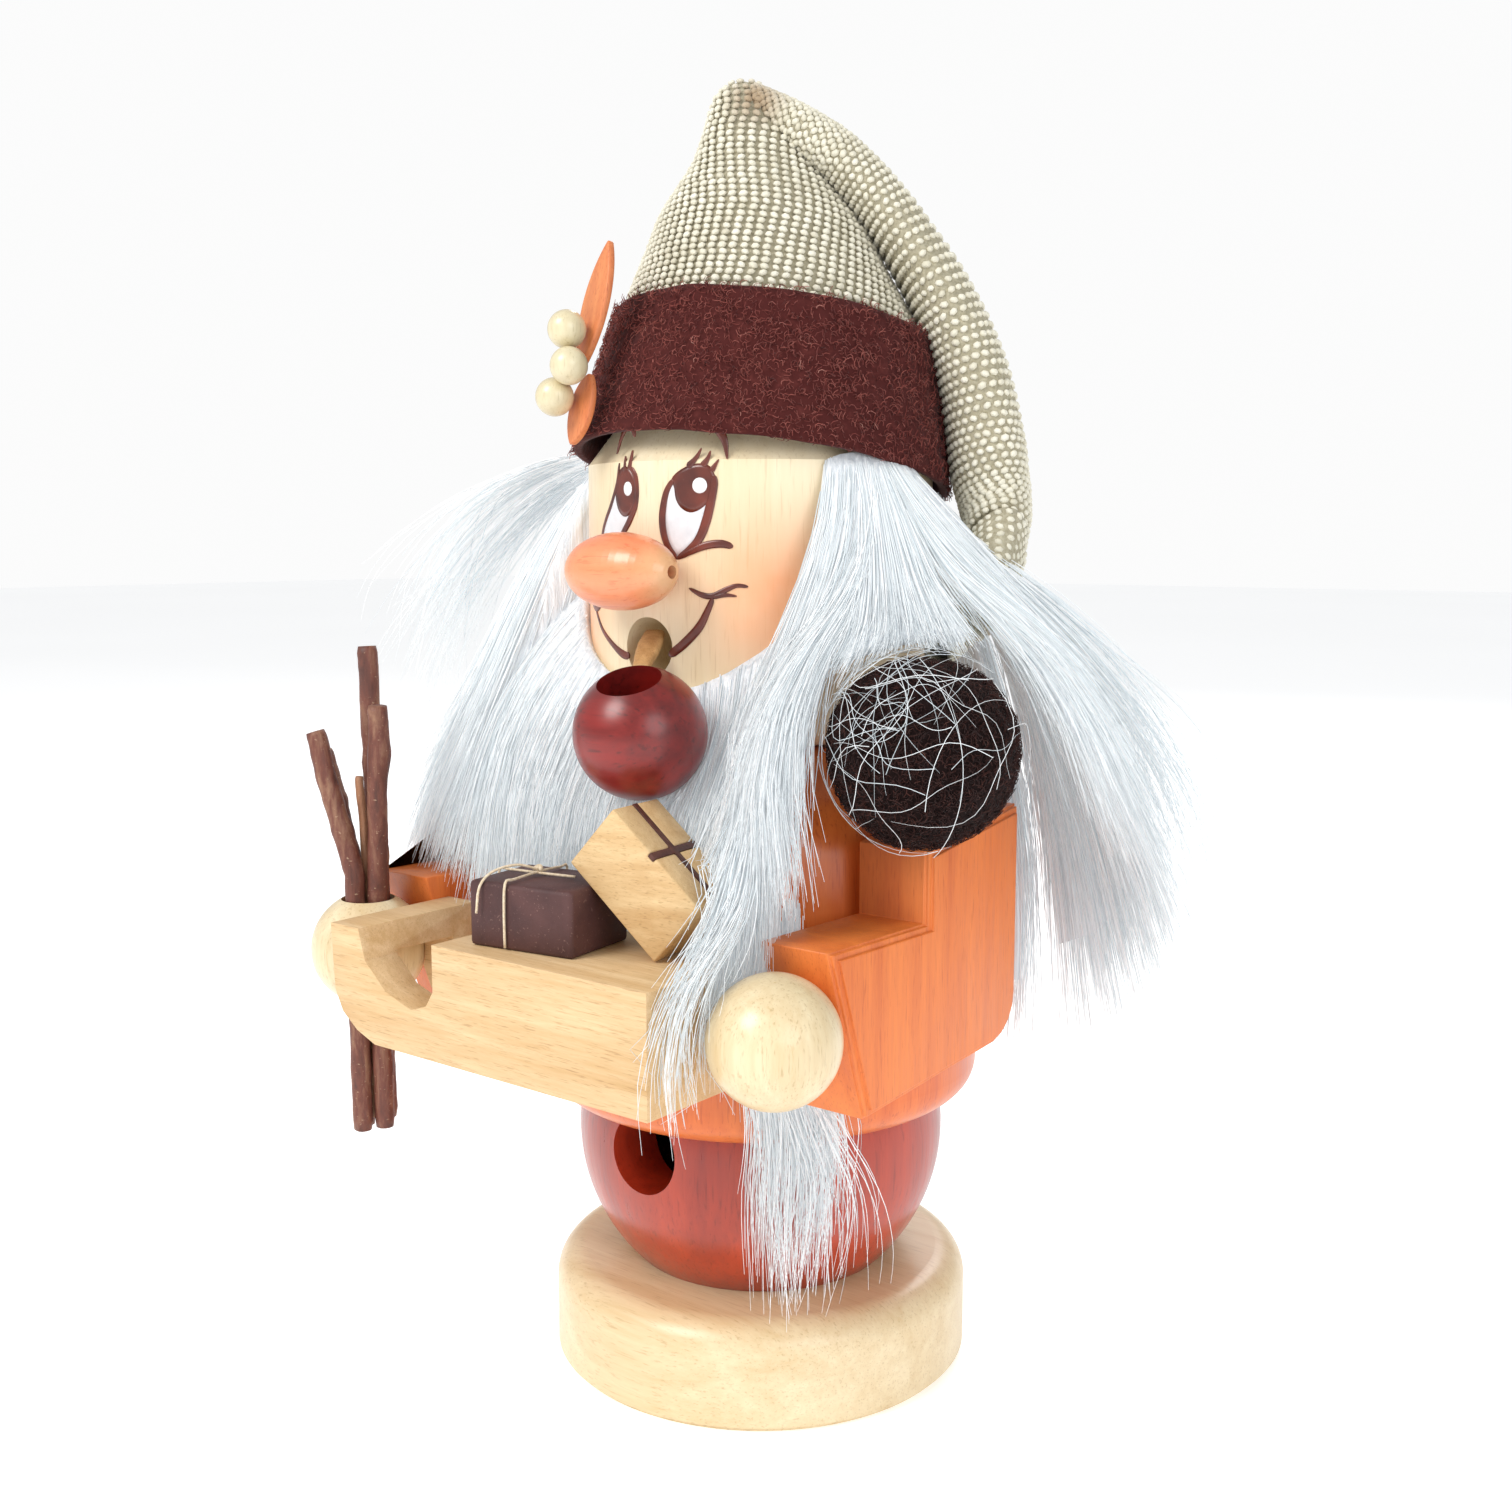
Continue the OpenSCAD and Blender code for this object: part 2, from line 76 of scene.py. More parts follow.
class Finish:
    """A material in the making: each method adds nodes and gives back the socket they end in."""

    def __init__(self, name, rough=0.5, **fixed):
        self.material = bpy.data.materials.new(name)
        self.material.use_nodes = True
        self.tree = self.material.node_tree
        self.shader = self.tree.nodes["Principled BSDF"]
        self.shader.inputs["Roughness"].default_value = rough
        for key, value in fixed.items():
            self.shader.inputs[key.replace("_", " ")].default_value = value
        self.place = self.add("ShaderNodeTexCoord").outputs["Object"]

    def plug(self, socket, value):
        if isinstance(value, bpy.types.NodeSocket):
            self.tree.links.new(value, socket)
        else:
            socket.default_value = value

    def add(self, kind, settings=None, **inputs):
        node = self.tree.nodes.new(kind)
        for key, value in (settings or {}).items():
            setattr(node, key, value)
        for key, value in inputs.items():
            self.plug(node.inputs[key.replace("_", " ")], value)
        return node

    def mapped(self, scale, turn=(0, 0, 0), vector=None):
        return self.add("ShaderNodeMapping", Vector=vector or self.place, Scale=scale,
                        Rotation=turn).outputs["Vector"]

    def noise(self, vector, scale, detail=3.0, rough=0.55, twist=0.0):
        return self.add("ShaderNodeTexNoise", Vector=vector, Scale=scale, Detail=detail,
                        Roughness=rough, Distortion=twist).outputs["Fac"]

    def ramp(self, value, *stops):
        node = self.add("ShaderNodeValToRGB", Fac=value)
        elements = node.color_ramp.elements
        while len(elements) < len(stops):
            elements.new(0.5)
        for element, (at, colour) in zip(elements, stops):
            element.position = at
            element.color = (*colour, 1)
        return node.outputs["Color"]

    def mix(self, value, a, b, blend="MIX"):
        node = self.add("ShaderNodeMix", {"data_type": "RGBA", "blend_type": blend})
        for index, item in ((0, value), (6, a), (7, b)):
            if isinstance(item, tuple) and len(item) == 3:
                item = (*item, 1)
            self.plug(node.inputs[index], item)
        return node.outputs[2]

    def sum(self, a, b, kind="ADD"):
        node = self.add("ShaderNodeMath", {"operation": kind})
        self.plug(node.inputs[0], a)
        self.plug(node.inputs[1], b)
        return node.outputs["Value"]

    def span(self, value, low, high, start=0.0, end=1.0):
        return self.add("ShaderNodeMapRange", Value=value, From_Min=start, From_Max=end,
                        To_Min=low, To_Max=high).outputs["Result"]

    def near(self, point, reach, fade):
        """1 close to a point given in mm, 0 beyond reach, over a soft edge."""
        gap = self.add("ShaderNodeVectorMath", {"operation": "DISTANCE"})
        self.plug(gap.inputs[0], self.place)
        gap.inputs[1].default_value = tuple(c * MM for c in point)
        return self.add("ShaderNodeMapRange", {"interpolation_type": "SMOOTHSTEP"},
                        Value=gap.outputs["Value"], From_Min=(reach - fade) * MM,
                        From_Max=(reach + fade) * MM, To_Min=1.0,
                        To_Max=0.0).outputs["Result"]

    def attribute(self, name):
        return self.add("ShaderNodeAttribute", {"attribute_name": name}).outputs["Fac"]

    def colour(self, socket):
        self.plug(self.shader.inputs["Base Color"], socket)
        return self

    def rough(self, socket):
        self.plug(self.shader.inputs["Roughness"], socket)
        return self

    def relief(self, height, depth_mm, strength=0.6):
        bump = self.add("ShaderNodeBump", Height=height, Distance=depth_mm * MM,
                        Strength=strength)
        self.plug(self.shader.inputs["Normal"], bump.outputs["Normal"])
        return self


def wood(name, light, dark, along="Z", turn=(0, 0, 0), pitch=1.0, contrast=1.0, rough=0.42,
         relief=0.04, shade=None, **fixed):
    """Turned or sawn wood: long fibres over wider growth bands, with fine pores in relief."""
    f = Finish(name, rough, **fixed)
    squeeze = {"X": (1, 16, 16), "Y": (16, 1, 16), "Z": (16, 16, 1)}[along]
    line = f.mapped(tuple(s * 62 / pitch for s in squeeze), turn)
    wide = f.noise(line, 0.22, 4, 0.5, 0.6)
    fine = f.noise(line, 1.5, 5, 0.65)
    pore = f.noise(line, 4.2, 2, 0.6)
    grain = f.sum(f.sum(wide, 0.62, "MULTIPLY"), f.sum(fine, 0.38, "MULTIPLY"))
    half = 0.17 / contrast
    base = f.ramp(grain, (0.5 - half, dark), (0.5 + half, light))
    flecks = f.ramp(pore, (0.3, tuple(c * 0.72 for c in dark)), (0.43, (1, 1, 1)))
    base = f.mix(0.42 * contrast, base, flecks, "MULTIPLY")
    if shade:
        base = shade(f, base)
    f.colour(base)
    f.rough(f.span(fine, rough - 0.07, rough + 0.09, 0.3, 0.7))
    return f.relief(f.sum(fine, f.sum(pore, 0.5, "MULTIPLY")), relief, 0.5)


MAPLE = srgb(238, 222, 186)
MAPLE_DARK = srgb(214, 186, 138)
ORANGE = srgb(238, 130, 56)
ORANGE_DARK = srgb(206, 92, 36)
RED = srgb(192, 66, 36)
RED_DARK = srgb(134, 36, 26)


def blushed(f, base):
    """Round cheek blush sprayed on both sides of the face."""
    for side in (-1, 1):
        cheek = f.near((side * 14.2, -14.2, 91.5), 7.4, 6.4)
        mottled = f.sum(cheek, f.span(f.noise(f.place, 260, 3), 0.62, 0.95), "MULTIPLY")
        base = f.mix(mottled, base, srgb(246, 164, 112))
    return base


def nose_tinted(f, base):
    """The nose is dipped in orange paint that thins towards its drilled ends."""
    part = f.add("ShaderNodeSeparateXYZ", Vector=f.place)
    away = f.add("ShaderNodeMath", {"operation": "ABSOLUTE"})
    f.plug(away.inputs[0], part.outputs["X"])
    edge = f.sum(away.outputs["Value"], f.span(f.noise(f.place, 420, 3), -0.0009, 0.0009))
    return f.mix(f.span(edge, 0.0, 0.85, 0.0042, 0.0068), base, srgb(222, 176, 128))


pale_wood = wood("pale_maple", MAPLE, MAPLE_DARK, "X", contrast=0.8, rough=0.36,
                 Coat_Weight=0.25, Coat_Roughness=0.25)
hand_wood = wood("hand_maple", MAPLE, MAPLE_DARK, "Z", (0.3, 0.2, 0), contrast=0.9, rough=0.33,
                 Coat_Weight=0.35, Coat_Roughness=0.2)
dowel_wood = wood("dowel_beech", srgb(226, 196, 150), srgb(196, 156, 104), "Z", rough=0.6)
red_wood = wood("red_stained_body", RED, RED_DARK, "Z", pitch=1.5, contrast=0.75, rough=0.34,
                relief=0.03, Coat_Weight=0.45, Coat_Roughness=0.22)
orange_wood = wood("orange_stained_jacket", ORANGE, ORANGE_DARK, "Z", pitch=1.2, contrast=0.8,
                   rough=0.36, relief=0.03, Coat_Weight=0.4, Coat_Roughness=0.24)
arm_wood = wood("orange_stained_board", srgb(240, 136, 62), srgb(208, 100, 42), "Z",
                (0.5, 0, 0), pitch=0.7, contrast=0.75, rough=0.46, relief=0.04,
                Coat_Weight=0.15, Coat_Roughness=0.35)
face_wood = wood("face_maple", srgb(244, 230, 200), srgb(229, 207, 166), "Z", pitch=1.4,
                 contrast=0.7, rough=0.36, relief=0.02, shade=blushed, Coat_Weight=0.3,
                 Coat_Roughness=0.3)
nose_paint = wood("nose_paint", srgb(250, 164, 118), srgb(240, 132, 86), "X", pitch=1.3,
                  contrast=0.7, rough=0.32, relief=0.02, shade=nose_tinted, Coat_Weight=0.35,
                  Coat_Roughness=0.2)
pipe_wood = wood("dark_red_pipe", srgb(150, 30, 22), srgb(66, 14, 16), "X", (0, 0, 0.5),
                 pitch=2.6, contrast=1.1, rough=0.34, relief=0.015, Coat_Weight=0.3,
                 Coat_Roughness=0.25)
stem_wood = wood("stem_stick", srgb(206, 166, 112), srgb(160, 116, 66), "Z", (0.6, 0, 0),
                 pitch=0.5, rough=0.6)
sledge_wood = wood("sledge_beech", srgb(232, 202, 158), srgb(204, 164, 112), "X", pitch=0.55,
                   contrast=1.0, rough=0.55, relief=0.06)
box_wood = wood("light_parcel_lime", srgb(226, 196, 148), srgb(200, 160, 108), "X",
                (0, 0.7, 0), pitch=0.5, contrast=1.0, rough=0.55, relief=0.06)
leaf_wood = wood("orange_leaf", srgb(226, 146, 92), srgb(200, 106, 60), "Z", pitch=0.7,
                 rough=0.5, relief=0.04)
berry_wood = wood("berry_bead", srgb(228, 218, 186), srgb(200, 182, 138), "Z", (0.7, 0.3, 0),
                  pitch=0.8, contrast=0.6, rough=0.32, Coat_Weight=0.4, Coat_Roughness=0.18)

tin = Finish("ember_tin", 0.36, Metallic=1.0)
ring = tin.noise(tin.mapped((300, 300, 300)), 3.0, 5, 0.7)
tin.colour(tin.ramp(ring, (0.3, srgb(120, 116, 108)), (0.7, srgb(186, 184, 178))))
tin.rough(tin.span(ring, 0.28, 0.5)).relief(ring, 0.03)

brown_paint = Finish("brown_parcel_paint", 0.62)
speck = brown_paint.noise(brown_paint.place, 2600, 2, 0.8)
blotch = brown_paint.noise(brown_paint.place, 240, 4)
skin = brown_paint.ramp(blotch, (0.3, srgb(66, 38, 38)), (0.7, srgb(88, 54, 52)))
skin = brown_paint.mix(brown_paint.span(speck, 0.0, 0.5, 0.62, 0.74), skin, srgb(150, 118, 108))
brown_paint.colour(skin).rough(brown_paint.span(speck, 0.5, 0.75)).relief(speck, 0.05, 0.5)

ribbon_paint = Finish("brown_ribbon_inlay", 0.55)
stripe = ribbon_paint.noise(ribbon_paint.place, 1500, 3)
ribbon_paint.colour(ribbon_paint.ramp(stripe, (0.3, srgb(66, 34, 28)), (0.7, srgb(98, 56, 44))))
ribbon_paint.relief(stripe, 0.03)

face_ink = Finish("face_ink", 0.34, Coat_Weight=0.35, Coat_Roughness=0.2)
# Pale specks mixed into the ink are a painted reflection of glare on the glossy print; the same
# noise gives the ink its fine relief.
glare_specks = face_ink.noise(face_ink.place, 3600, 3, 0.75)
patch = face_ink.noise(face_ink.place, 300, 2)
inked = face_ink.ramp(patch, (0.3, srgb(74, 30, 22)), (0.7, srgb(120, 52, 36)))
inked = face_ink.mix(face_ink.span(glare_specks, 0.0, 0.4, 0.66, 0.8), inked, srgb(196, 160, 146))
face_ink.colour(inked).relief(glare_specks, 0.02)

eye_white = Finish("eye_white", 0.4, Coat_Weight=0.2, Coat_Roughness=0.2)
milk = eye_white.noise(eye_white.place, 800, 3)
eye_white.colour(eye_white.ramp(milk, (0.2, srgb(216, 218, 222)), (0.8, srgb(236, 237, 240))))
eye_white.relief(milk, 0.01)

glint_white = Finish("eye_glint", 0.3)
grit = glint_white.noise(glint_white.place, 1200, 2)
glint_white.colour(glint_white.ramp(grit, (0.1, (0.86, 0.86, 0.86)), (0.9, (1, 1, 1))))


def fleece(name, deep, mid, tip, fleck):
    """Short pile: every fibre takes its own shade from the colour stored on it."""
    f = Finish(name, 0.9, Sheen_Weight=0.08, Sheen_Roughness=0.4, Specular_IOR_Level=0.15)
    clump = f.noise(f.place, 900, 4, 0.6)
    own = f.attribute("tint")
    tone = f.sum(f.sum(own, 0.65, "MULTIPLY"), f.sum(clump, 0.35, "MULTIPLY"))
    f.colour(f.ramp(tone, (0.18, deep), (0.48, mid), (0.78, tip), (0.97, fleck)))
    return f.relief(clump, 0.25, 0.7)


band_fleece = fleece("maroon_fleece", srgb(74, 30, 28), srgb(128, 66, 60), srgb(168, 100, 90),
                     srgb(220, 176, 160))
pompom_fleece = fleece("dark_fleece", srgb(26, 13, 12), srgb(52, 29, 26), srgb(84, 50, 43),
                       srgb(126, 88, 74))

yarn = Finish("hat_yarn", 0.82, Sheen_Weight=0.2, Sheen_Roughness=0.5)
ply = yarn.noise(yarn.mapped((1, 1, 1)), 5200, 3, 0.6)
shade = yarn.noise(yarn.place, 160, 3)
tone = yarn.sum(yarn.sum(yarn.attribute("tint"), 0.5, "MULTIPLY"),
                yarn.sum(shade, 0.5, "MULTIPLY"))
strand = yarn.ramp(tone, (0.2, srgb(204, 198, 176)), (0.5, srgb(226, 221, 202)),
                   (0.85, srgb(240, 236, 221)))
# A brownish patch darkens the yarn at the fold just below the peak.
peak_patch = yarn.near((1.2, -2.5, 146.4), 2.6, 2.4)
strand = yarn.mix(yarn.sum(peak_patch, 0.8, "MULTIPLY"), strand, srgb(150, 118, 78))
yarn.colour(strand).relief(ply, 0.12, 0.6)

# The ground under the stitches is a darker shade of the yarn: painted shade for the gaps between
# stitches.
gap_shade_ground = Finish("hat_ground_gap_shade", 0.9)
thread = gap_shade_ground.noise(gap_shade_ground.place, 2400, 3)
gap_shade_ground.colour(gap_shade_ground.ramp(thread, (0.3, srgb(152, 144, 120)), (0.7, srgb(184, 177, 154))))
gap_shade_ground.relief(thread, 0.2, 0.8)

# The hair glows faintly: painted light that brightens the white fur beyond what the lamps give it.
fur = Finish("white_fur", 0.42, Specular_IOR_Level=0.35,
             Emission_Color=(0.96, 0.98, 1.0, 1), Emission_Strength=0.11)
own = fur.attribute("tint")
fur.colour(fur.ramp(own, (0.0, srgb(190, 202, 208)), (0.5, srgb(228, 234, 237)),
                    (1.0, srgb(252, 253, 254))))

# The fur underneath glows faintly too: painted light that keeps it bright where it shows between
# the hairs.
fur_bed = Finish("fur_backing", 0.7, Emission_Color=(0.92, 0.97, 1.0, 1),
                 Emission_Strength=0.1)
lie = fur_bed.mapped((1500, 1500, 90))
lock = fur_bed.noise(lie, 1.0, 5, 0.65, 0.4)
fur_bed.colour(fur_bed.ramp(lock, (0.3, srgb(196, 204, 212)), (0.55, srgb(232, 236, 240)),
                            (0.8, srgb(250, 251, 252))))
fur_bed.relief(lock, 0.5, 0.8)

pale_thread = Finish("parcel_thread", 0.7, Sheen_Weight=0.2)
twist = pale_thread.noise(pale_thread.mapped((1, 1, 1), (0.6, 0.3, 0)), 3000, 2)
pale_thread.colour(pale_thread.ramp(twist, (0.3, srgb(206, 184, 150)), (0.7, srgb(238, 222, 196))))
pale_thread.relief(twist, 0.06)


def bark(name, light, dark):
    f = Finish(name, 0.6, Coat_Weight=0.1, Coat_Roughness=0.4)
    skin = f.noise(f.mapped((520, 520, 130)), 1.0, 6, 0.68, 0.5)
    dots = f.noise(f.mapped((1, 1, 1.8)), 1500, 2, 0.6)
    base = f.ramp(skin, (0.28, dark), (0.5, light), (0.72, srgb(156, 118, 92)))
    f.colour(f.mix(f.span(dots, 0.0, 0.75, 0.66, 0.74), base, srgb(178, 148, 120)))
    f.rough(f.span(skin, 0.45, 0.75))
    return f.relief(f.sum(skin, f.sum(dots, 0.4, "MULTIPLY")), 0.22, 0.8)


twig_bark = bark("red_twig_bark", srgb(112, 62, 48), srgb(52, 27, 23))
straw_bark = bark("thin_twig_bark", srgb(166, 116, 84), srgb(112, 68, 46))


# ---------------------------------------------------------------- making pieces
def ride(piece, body, slot, *stands_for):
    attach(piece, body)
    if stands_for:
        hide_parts(*stands_for)
    return piece


def hang_over_joint(piece):
    """Hair that lies on the pompom: its placement is baked into its points, and it is tied to
    neither the head nor the ball.
    """
    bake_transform(piece)
    return piece


def link(name, mesh, finish):
    piece = bpy.data.objects.new(name, mesh)
    bpy.context.scene.collection.objects.link(piece)
    mesh.materials.clear()
    mesh.materials.append(finish.material)
    return piece


def solid(name, points, faces, finish):
    """A mesh from points in mm, with its doubles merged and its faces turned outwards."""
    mesh = bpy.data.meshes.new(name)
    mesh.from_pydata((np.asarray(points, float) * MM).tolist(), [], faces)
    bm = bmesh.new()
    bm.from_mesh(mesh)
    bmesh.ops.remove_doubles(bm, verts=bm.verts, dist=SAME_POINT)
    bmesh.ops.recalc_face_normals(bm, faces=bm.faces)
    bm.to_mesh(mesh)
    bm.free()
    mesh.shade_smooth()
    return link(name, mesh, finish)


def rings_to_faces(rows, columns, wrap=True, caps=True):
    faces = []
    span = columns if wrap else columns - 1
    for i in range(rows - 1):
        for j in range(span):
            k = (j + 1) % columns
            faces.append((i * columns + j, i * columns + k, (i + 1) * columns + k,
                          (i + 1) * columns + j))
    if caps:
        faces.append(tuple(range(columns))[::-1])
        faces.append(tuple((rows - 1) * columns + j for j in range(columns)))
    return faces


def baked(name, source, finish):
    """The evaluated result of a modified object as a plain mesh; the source goes."""
    graph = bpy.context.evaluated_depsgraph_get()
    mesh = bpy.data.meshes.new_from_object(source.evaluated_get(graph))
    mesh.name = name
    bpy.data.objects.remove(source)
    mesh.shade_smooth()
    return link(name, mesh, finish)


def sized_copy(node, finish, edge_mm):
    """A CAD node's own shape with merged faces and softly rounded edges."""
    flat, rounded, creased = (math.radians(a) for a in (0.6, 24, 38))
    mesh = NODES[node].data.copy()
    bm = bmesh.new()
    bm.from_mesh(mesh)
    bmesh.ops.remove_doubles(bm, verts=bm.verts, dist=SAME_POINT)
    bmesh.ops.dissolve_limit(bm, angle_limit=flat, verts=bm.verts, edges=bm.edges)
    bm.to_mesh(mesh)
    bm.free()
    source = link(node + "_source", mesh, finish)
    bevel = source.modifiers.new("edges", "BEVEL")
    bevel.width = edge_mm * MM
    bevel.segments = 2
    bevel.limit_method = "ANGLE"
    bevel.angle_limit = rounded
    bevel.harden_normals = False
    bevel.use_clamp_overlap = True
    piece = baked(node + "_finished", source, finish)
    piece.data.set_sharp_from_angle(angle=creased)
    return piece


def path_points(stops, count):
    """A smooth curve through a few stops, as count points evenly spread."""
    stops = np.asarray(stops, float)
    padded = np.vstack([2 * stops[0] - stops[1], stops, 2 * stops[-1] - stops[-2]])
    spans = len(stops) - 1
    t = np.linspace(0, spans - 1e-9, count)
    i = t.astype(int)
    u = (t - i)[:, None]
    a, b, c, d = (padded[i + k] for k in range(4))
    return 0.5 * (2 * b + (c - a) * u + (2 * a - 5 * b + 4 * c - d) * u ** 2
                  + (3 * b - a - 3 * c + d) * u ** 3)


def frames_along(points):
    """Unit tangent, side and up vectors at each point of a path, turning as little as they can."""
    tangent = np.gradient(points, axis=0)
    tangent /= np.linalg.norm(tangent, axis=1)[:, None]
    side = np.cross(tangent[0], (0, 0, 1) if abs(tangent[0][2]) < 0.9 else (1, 0, 0))
    sides = []
    for t in tangent:
        side = side - t * np.dot(side, t)
        side /= np.linalg.norm(side)
        sides.append(side)
    sides = np.array(sides)
    return tangent, sides, np.cross(tangent, sides)


def tube(name, points, radii, finish, sides=10, wobble=0.0, seed=0):
    points = np.asarray(points, float)
    radii = np.broadcast_to(np.asarray(radii, float), (len(points),))
    _, side, up = frames_along(points)
    rows = []
    for i, p in enumerate(points):
        for j in range(sides):
            a = 2 * math.pi * j / sides
            out = side[i] * math.cos(a) + up[i] * math.sin(a)
            bump = 1 + wobble * noise.noise(Vector(p * 0.7 + out * 1.3) + Vector((seed, 0, 0)))
            rows.append(p + out * radii[i] * bump)
    return solid(name, rows, rings_to_faces(len(points), sides), finish)


# ---------------------------------------------------------------- node trees that repeat a shape
def tree_start(name):
    tree = bpy.data.node_groups.new(name, "GeometryNodeTree")
    tree.interface.new_socket("Geometry", in_out="INPUT", socket_type="NodeSocketGeometry")
    tree.interface.new_socket("Geometry", in_out="OUTPUT", socket_type="NodeSocketGeometry")
    return tree, tree.nodes.new("NodeGroupInput"), tree.nodes.new("NodeGroupOutput")


def named_input(tree, name, kind, value):
    socket = tree.interface.new_socket(name, in_out="INPUT", socket_type=kind)
    if value is not None:
        socket.default_value = value
    return socket


def tree_end(tree, geometry, group_in, group_out):
    real = tree.nodes.new("GeometryNodeRealizeInstances")
    paint = tree.nodes.new("GeometryNodeSetMaterial")
    tree.links.new(geometry, real.inputs["Geometry"])
    tree.links.new(real.outputs["Geometry"], paint.inputs["Geometry"])
    tree.links.new(group_in.outputs["Finish"], paint.inputs["Material"])
    tree.links.new(paint.outputs["Geometry"], group_out.inputs["Geometry"])


def reading(tree, name, kind):
    node = tree.nodes.new("GeometryNodeInputNamedAttribute")
    node.data_type = kind
    node.inputs["Name"].default_value = name
    return node.outputs["Attribute"]


def hair_tree():
    """Sweeps a thin round section along every hair; its thickness is stored along it."""
    tree, group_in, group_out = tree_start("hair_sweep")
    named_input(tree, "Sides", "NodeSocketInt", 3)
    named_input(tree, "Thickness", "NodeSocketFloat", 0.00007)
    named_input(tree, "Finish", "NodeSocketMaterial", None)
    curve = tree.nodes.new("GeometryNodeMeshToCurve")
    section = tree.nodes.new("GeometryNodeCurvePrimitiveCircle")
    sweep = tree.nodes.new("GeometryNodeCurveToMesh")
    sweep.inputs["Fill Caps"].default_value = True
    tree.links.new(group_in.outputs["Geometry"], curve.inputs["Mesh"])
    tree.links.new(group_in.outputs["Sides"], section.inputs["Resolution"])
    tree.links.new(group_in.outputs["Thickness"], section.inputs["Radius"])
    tree.links.new(curve.outputs["Curve"], sweep.inputs["Curve"])
    tree.links.new(section.outputs["Curve"], sweep.inputs["Profile Curve"])
    tree.links.new(reading(tree, "taper", "FLOAT"), sweep.inputs["Scale"])
    tree_end(tree, sweep.outputs["Mesh"], group_in, group_out)
    return tree


def stitch_tree():
    """Sets one yarn stitch, turned and sized by what is stored there, on every point."""
    tree, group_in, group_out = tree_start("stitch_rows")
    named_input(tree, "Stitch", "NodeSocketFloat", 0.0005)
    named_input(tree, "Finish", "NodeSocketMaterial", None)
    ball = tree.nodes.new("GeometryNodeMeshUVSphere")
    ball.inputs["Segments"].default_value = 6
    ball.inputs["Rings"].default_value = 4
    sow = tree.nodes.new("GeometryNodeInstanceOnPoints")
    tree.links.new(group_in.outputs["Stitch"], ball.inputs["Radius"])
    tree.links.new(group_in.outputs["Geometry"], sow.inputs["Points"])
    tree.links.new(ball.outputs["Mesh"], sow.inputs["Instance"])
    tree.links.new(reading(tree, "turn", "FLOAT_VECTOR"), sow.inputs["Rotation"])
    tree.links.new(reading(tree, "size", "FLOAT_VECTOR"), sow.inputs["Scale"])
    tree_end(tree, sow.outputs["Instances"], group_in, group_out)
    return tree


HAIR_TREE = hair_tree()
STITCH_TREE = stitch_tree()


def run_tree(name, points, edges, stored, tree, values, finish):
    """Runs a node tree over points and edges in mm; stored holds values per point."""
    mesh = bpy.data.meshes.new(name + "_source")
    mesh.vertices.add(len(points))
    mesh.vertices.foreach_set("co", (np.asarray(points, np.float32) * MM).ravel())
    if len(edges):
        mesh.edges.add(len(edges))
        mesh.edges.foreach_set("vertices", np.asarray(edges, np.int32).ravel())
    for key, data in stored.items():
        data = np.asarray(data, np.float32)
        wide = data.ndim == 2
        layer = mesh.attributes.new(key, "FLOAT_VECTOR" if wide else "FLOAT", "POINT")
        layer.data.foreach_set("vector" if wide else "value", data.ravel())
    mesh.update()
    source = bpy.data.objects.new(name + "_source", mesh)
    bpy.context.scene.collection.objects.link(source)
    modifier = source.modifiers.new("nodes", "NODES")
    modifier.node_group = tree
    values = dict(values, Finish=finish.material)
    for item in tree.interface.items_tree:
        if item.item_type == "SOCKET" and item.in_out == "INPUT" and item.name in values:
            modifier[item.identifier] = values[item.name]
    return baked(name, source, finish)


def hairs(name, lines, thickness, finish, tint, taper=None, sides=3):
    """Many hairs at once: lines is (hairs, points, 3) in mm and tint is one value per hair."""
    count, steps, _ = lines.shape
    index = np.arange(count * steps).reshape(count, steps)
    edges = np.stack([index[:, :-1].ravel(), index[:, 1:].ravel()], 1)
    if taper is None:
        taper = 1 - 0.72 * np.linspace(0, 1, steps) ** 2.2
    taper = np.broadcast_to(taper, (count, steps))
    return run_tree(name, lines.reshape(-1, 3), edges,
                    {"taper": taper.ravel(), "tint": np.repeat(tint, steps)}, HAIR_TREE,
                    {"Sides": sides, "Thickness": thickness * 0.5 * MM}, finish)


# ---------------------------------------------------------------- turned and sawn wood
for node, finish in {
    "base_disc": pale_wood, "base_dowel": dowel_wood, "lower_body": red_wood,
    "ember_plate": tin, "jacket": orange_wood, "head": face_wood, "nose": nose_paint,
    "pipe_bowl": pipe_wood, "hand_left": hand_wood, "hand_right": hand_wood,
    "arm_dowels": dowel_wood, "hand_pegs": dowel_wood, "berries": berry_wood,
}.items():
    node_mesh = NODES[node].data
    node_mesh.materials.clear()
    node_mesh.materials.append(finish.material)

for node, finish, slot, edge in (
    ("arm_left", arm_wood, "orange_stained_wood", 0.45),
    ("arm_right", arm_wood, "orange_stained_wood", 0.45),
    ("sledge", sledge_wood, "sledge_wood", 0.3),
    ("parcel_dark", brown_paint, "brown_paint", 0.45),
    ("parcel_light", box_wood, "parcel_wood", 0.22),
    ("parcel_ribbon", ribbon_paint, "brown_paint", 0.05),
    ("leaf_upper", leaf_wood, "leaf_orange", 0.2),
    ("leaf_lower", leaf_wood, "leaf_orange", 0.2),
):
    ride(sized_copy(node, finish, edge), "upper", slot, node)


# ---------------------------------------------------------------- the painted face
def on_face(points, lift):
    """Face drawing coordinates (across, height) in mm, laid on the round of the head."""
    points = np.asarray(points, float)
    a = points[:, 0] / HEAD_R
    r = HEAD_R + lift
    return np.stack([r * np.sin(a), -r * np.cos(a), points[:, 1]], 1)


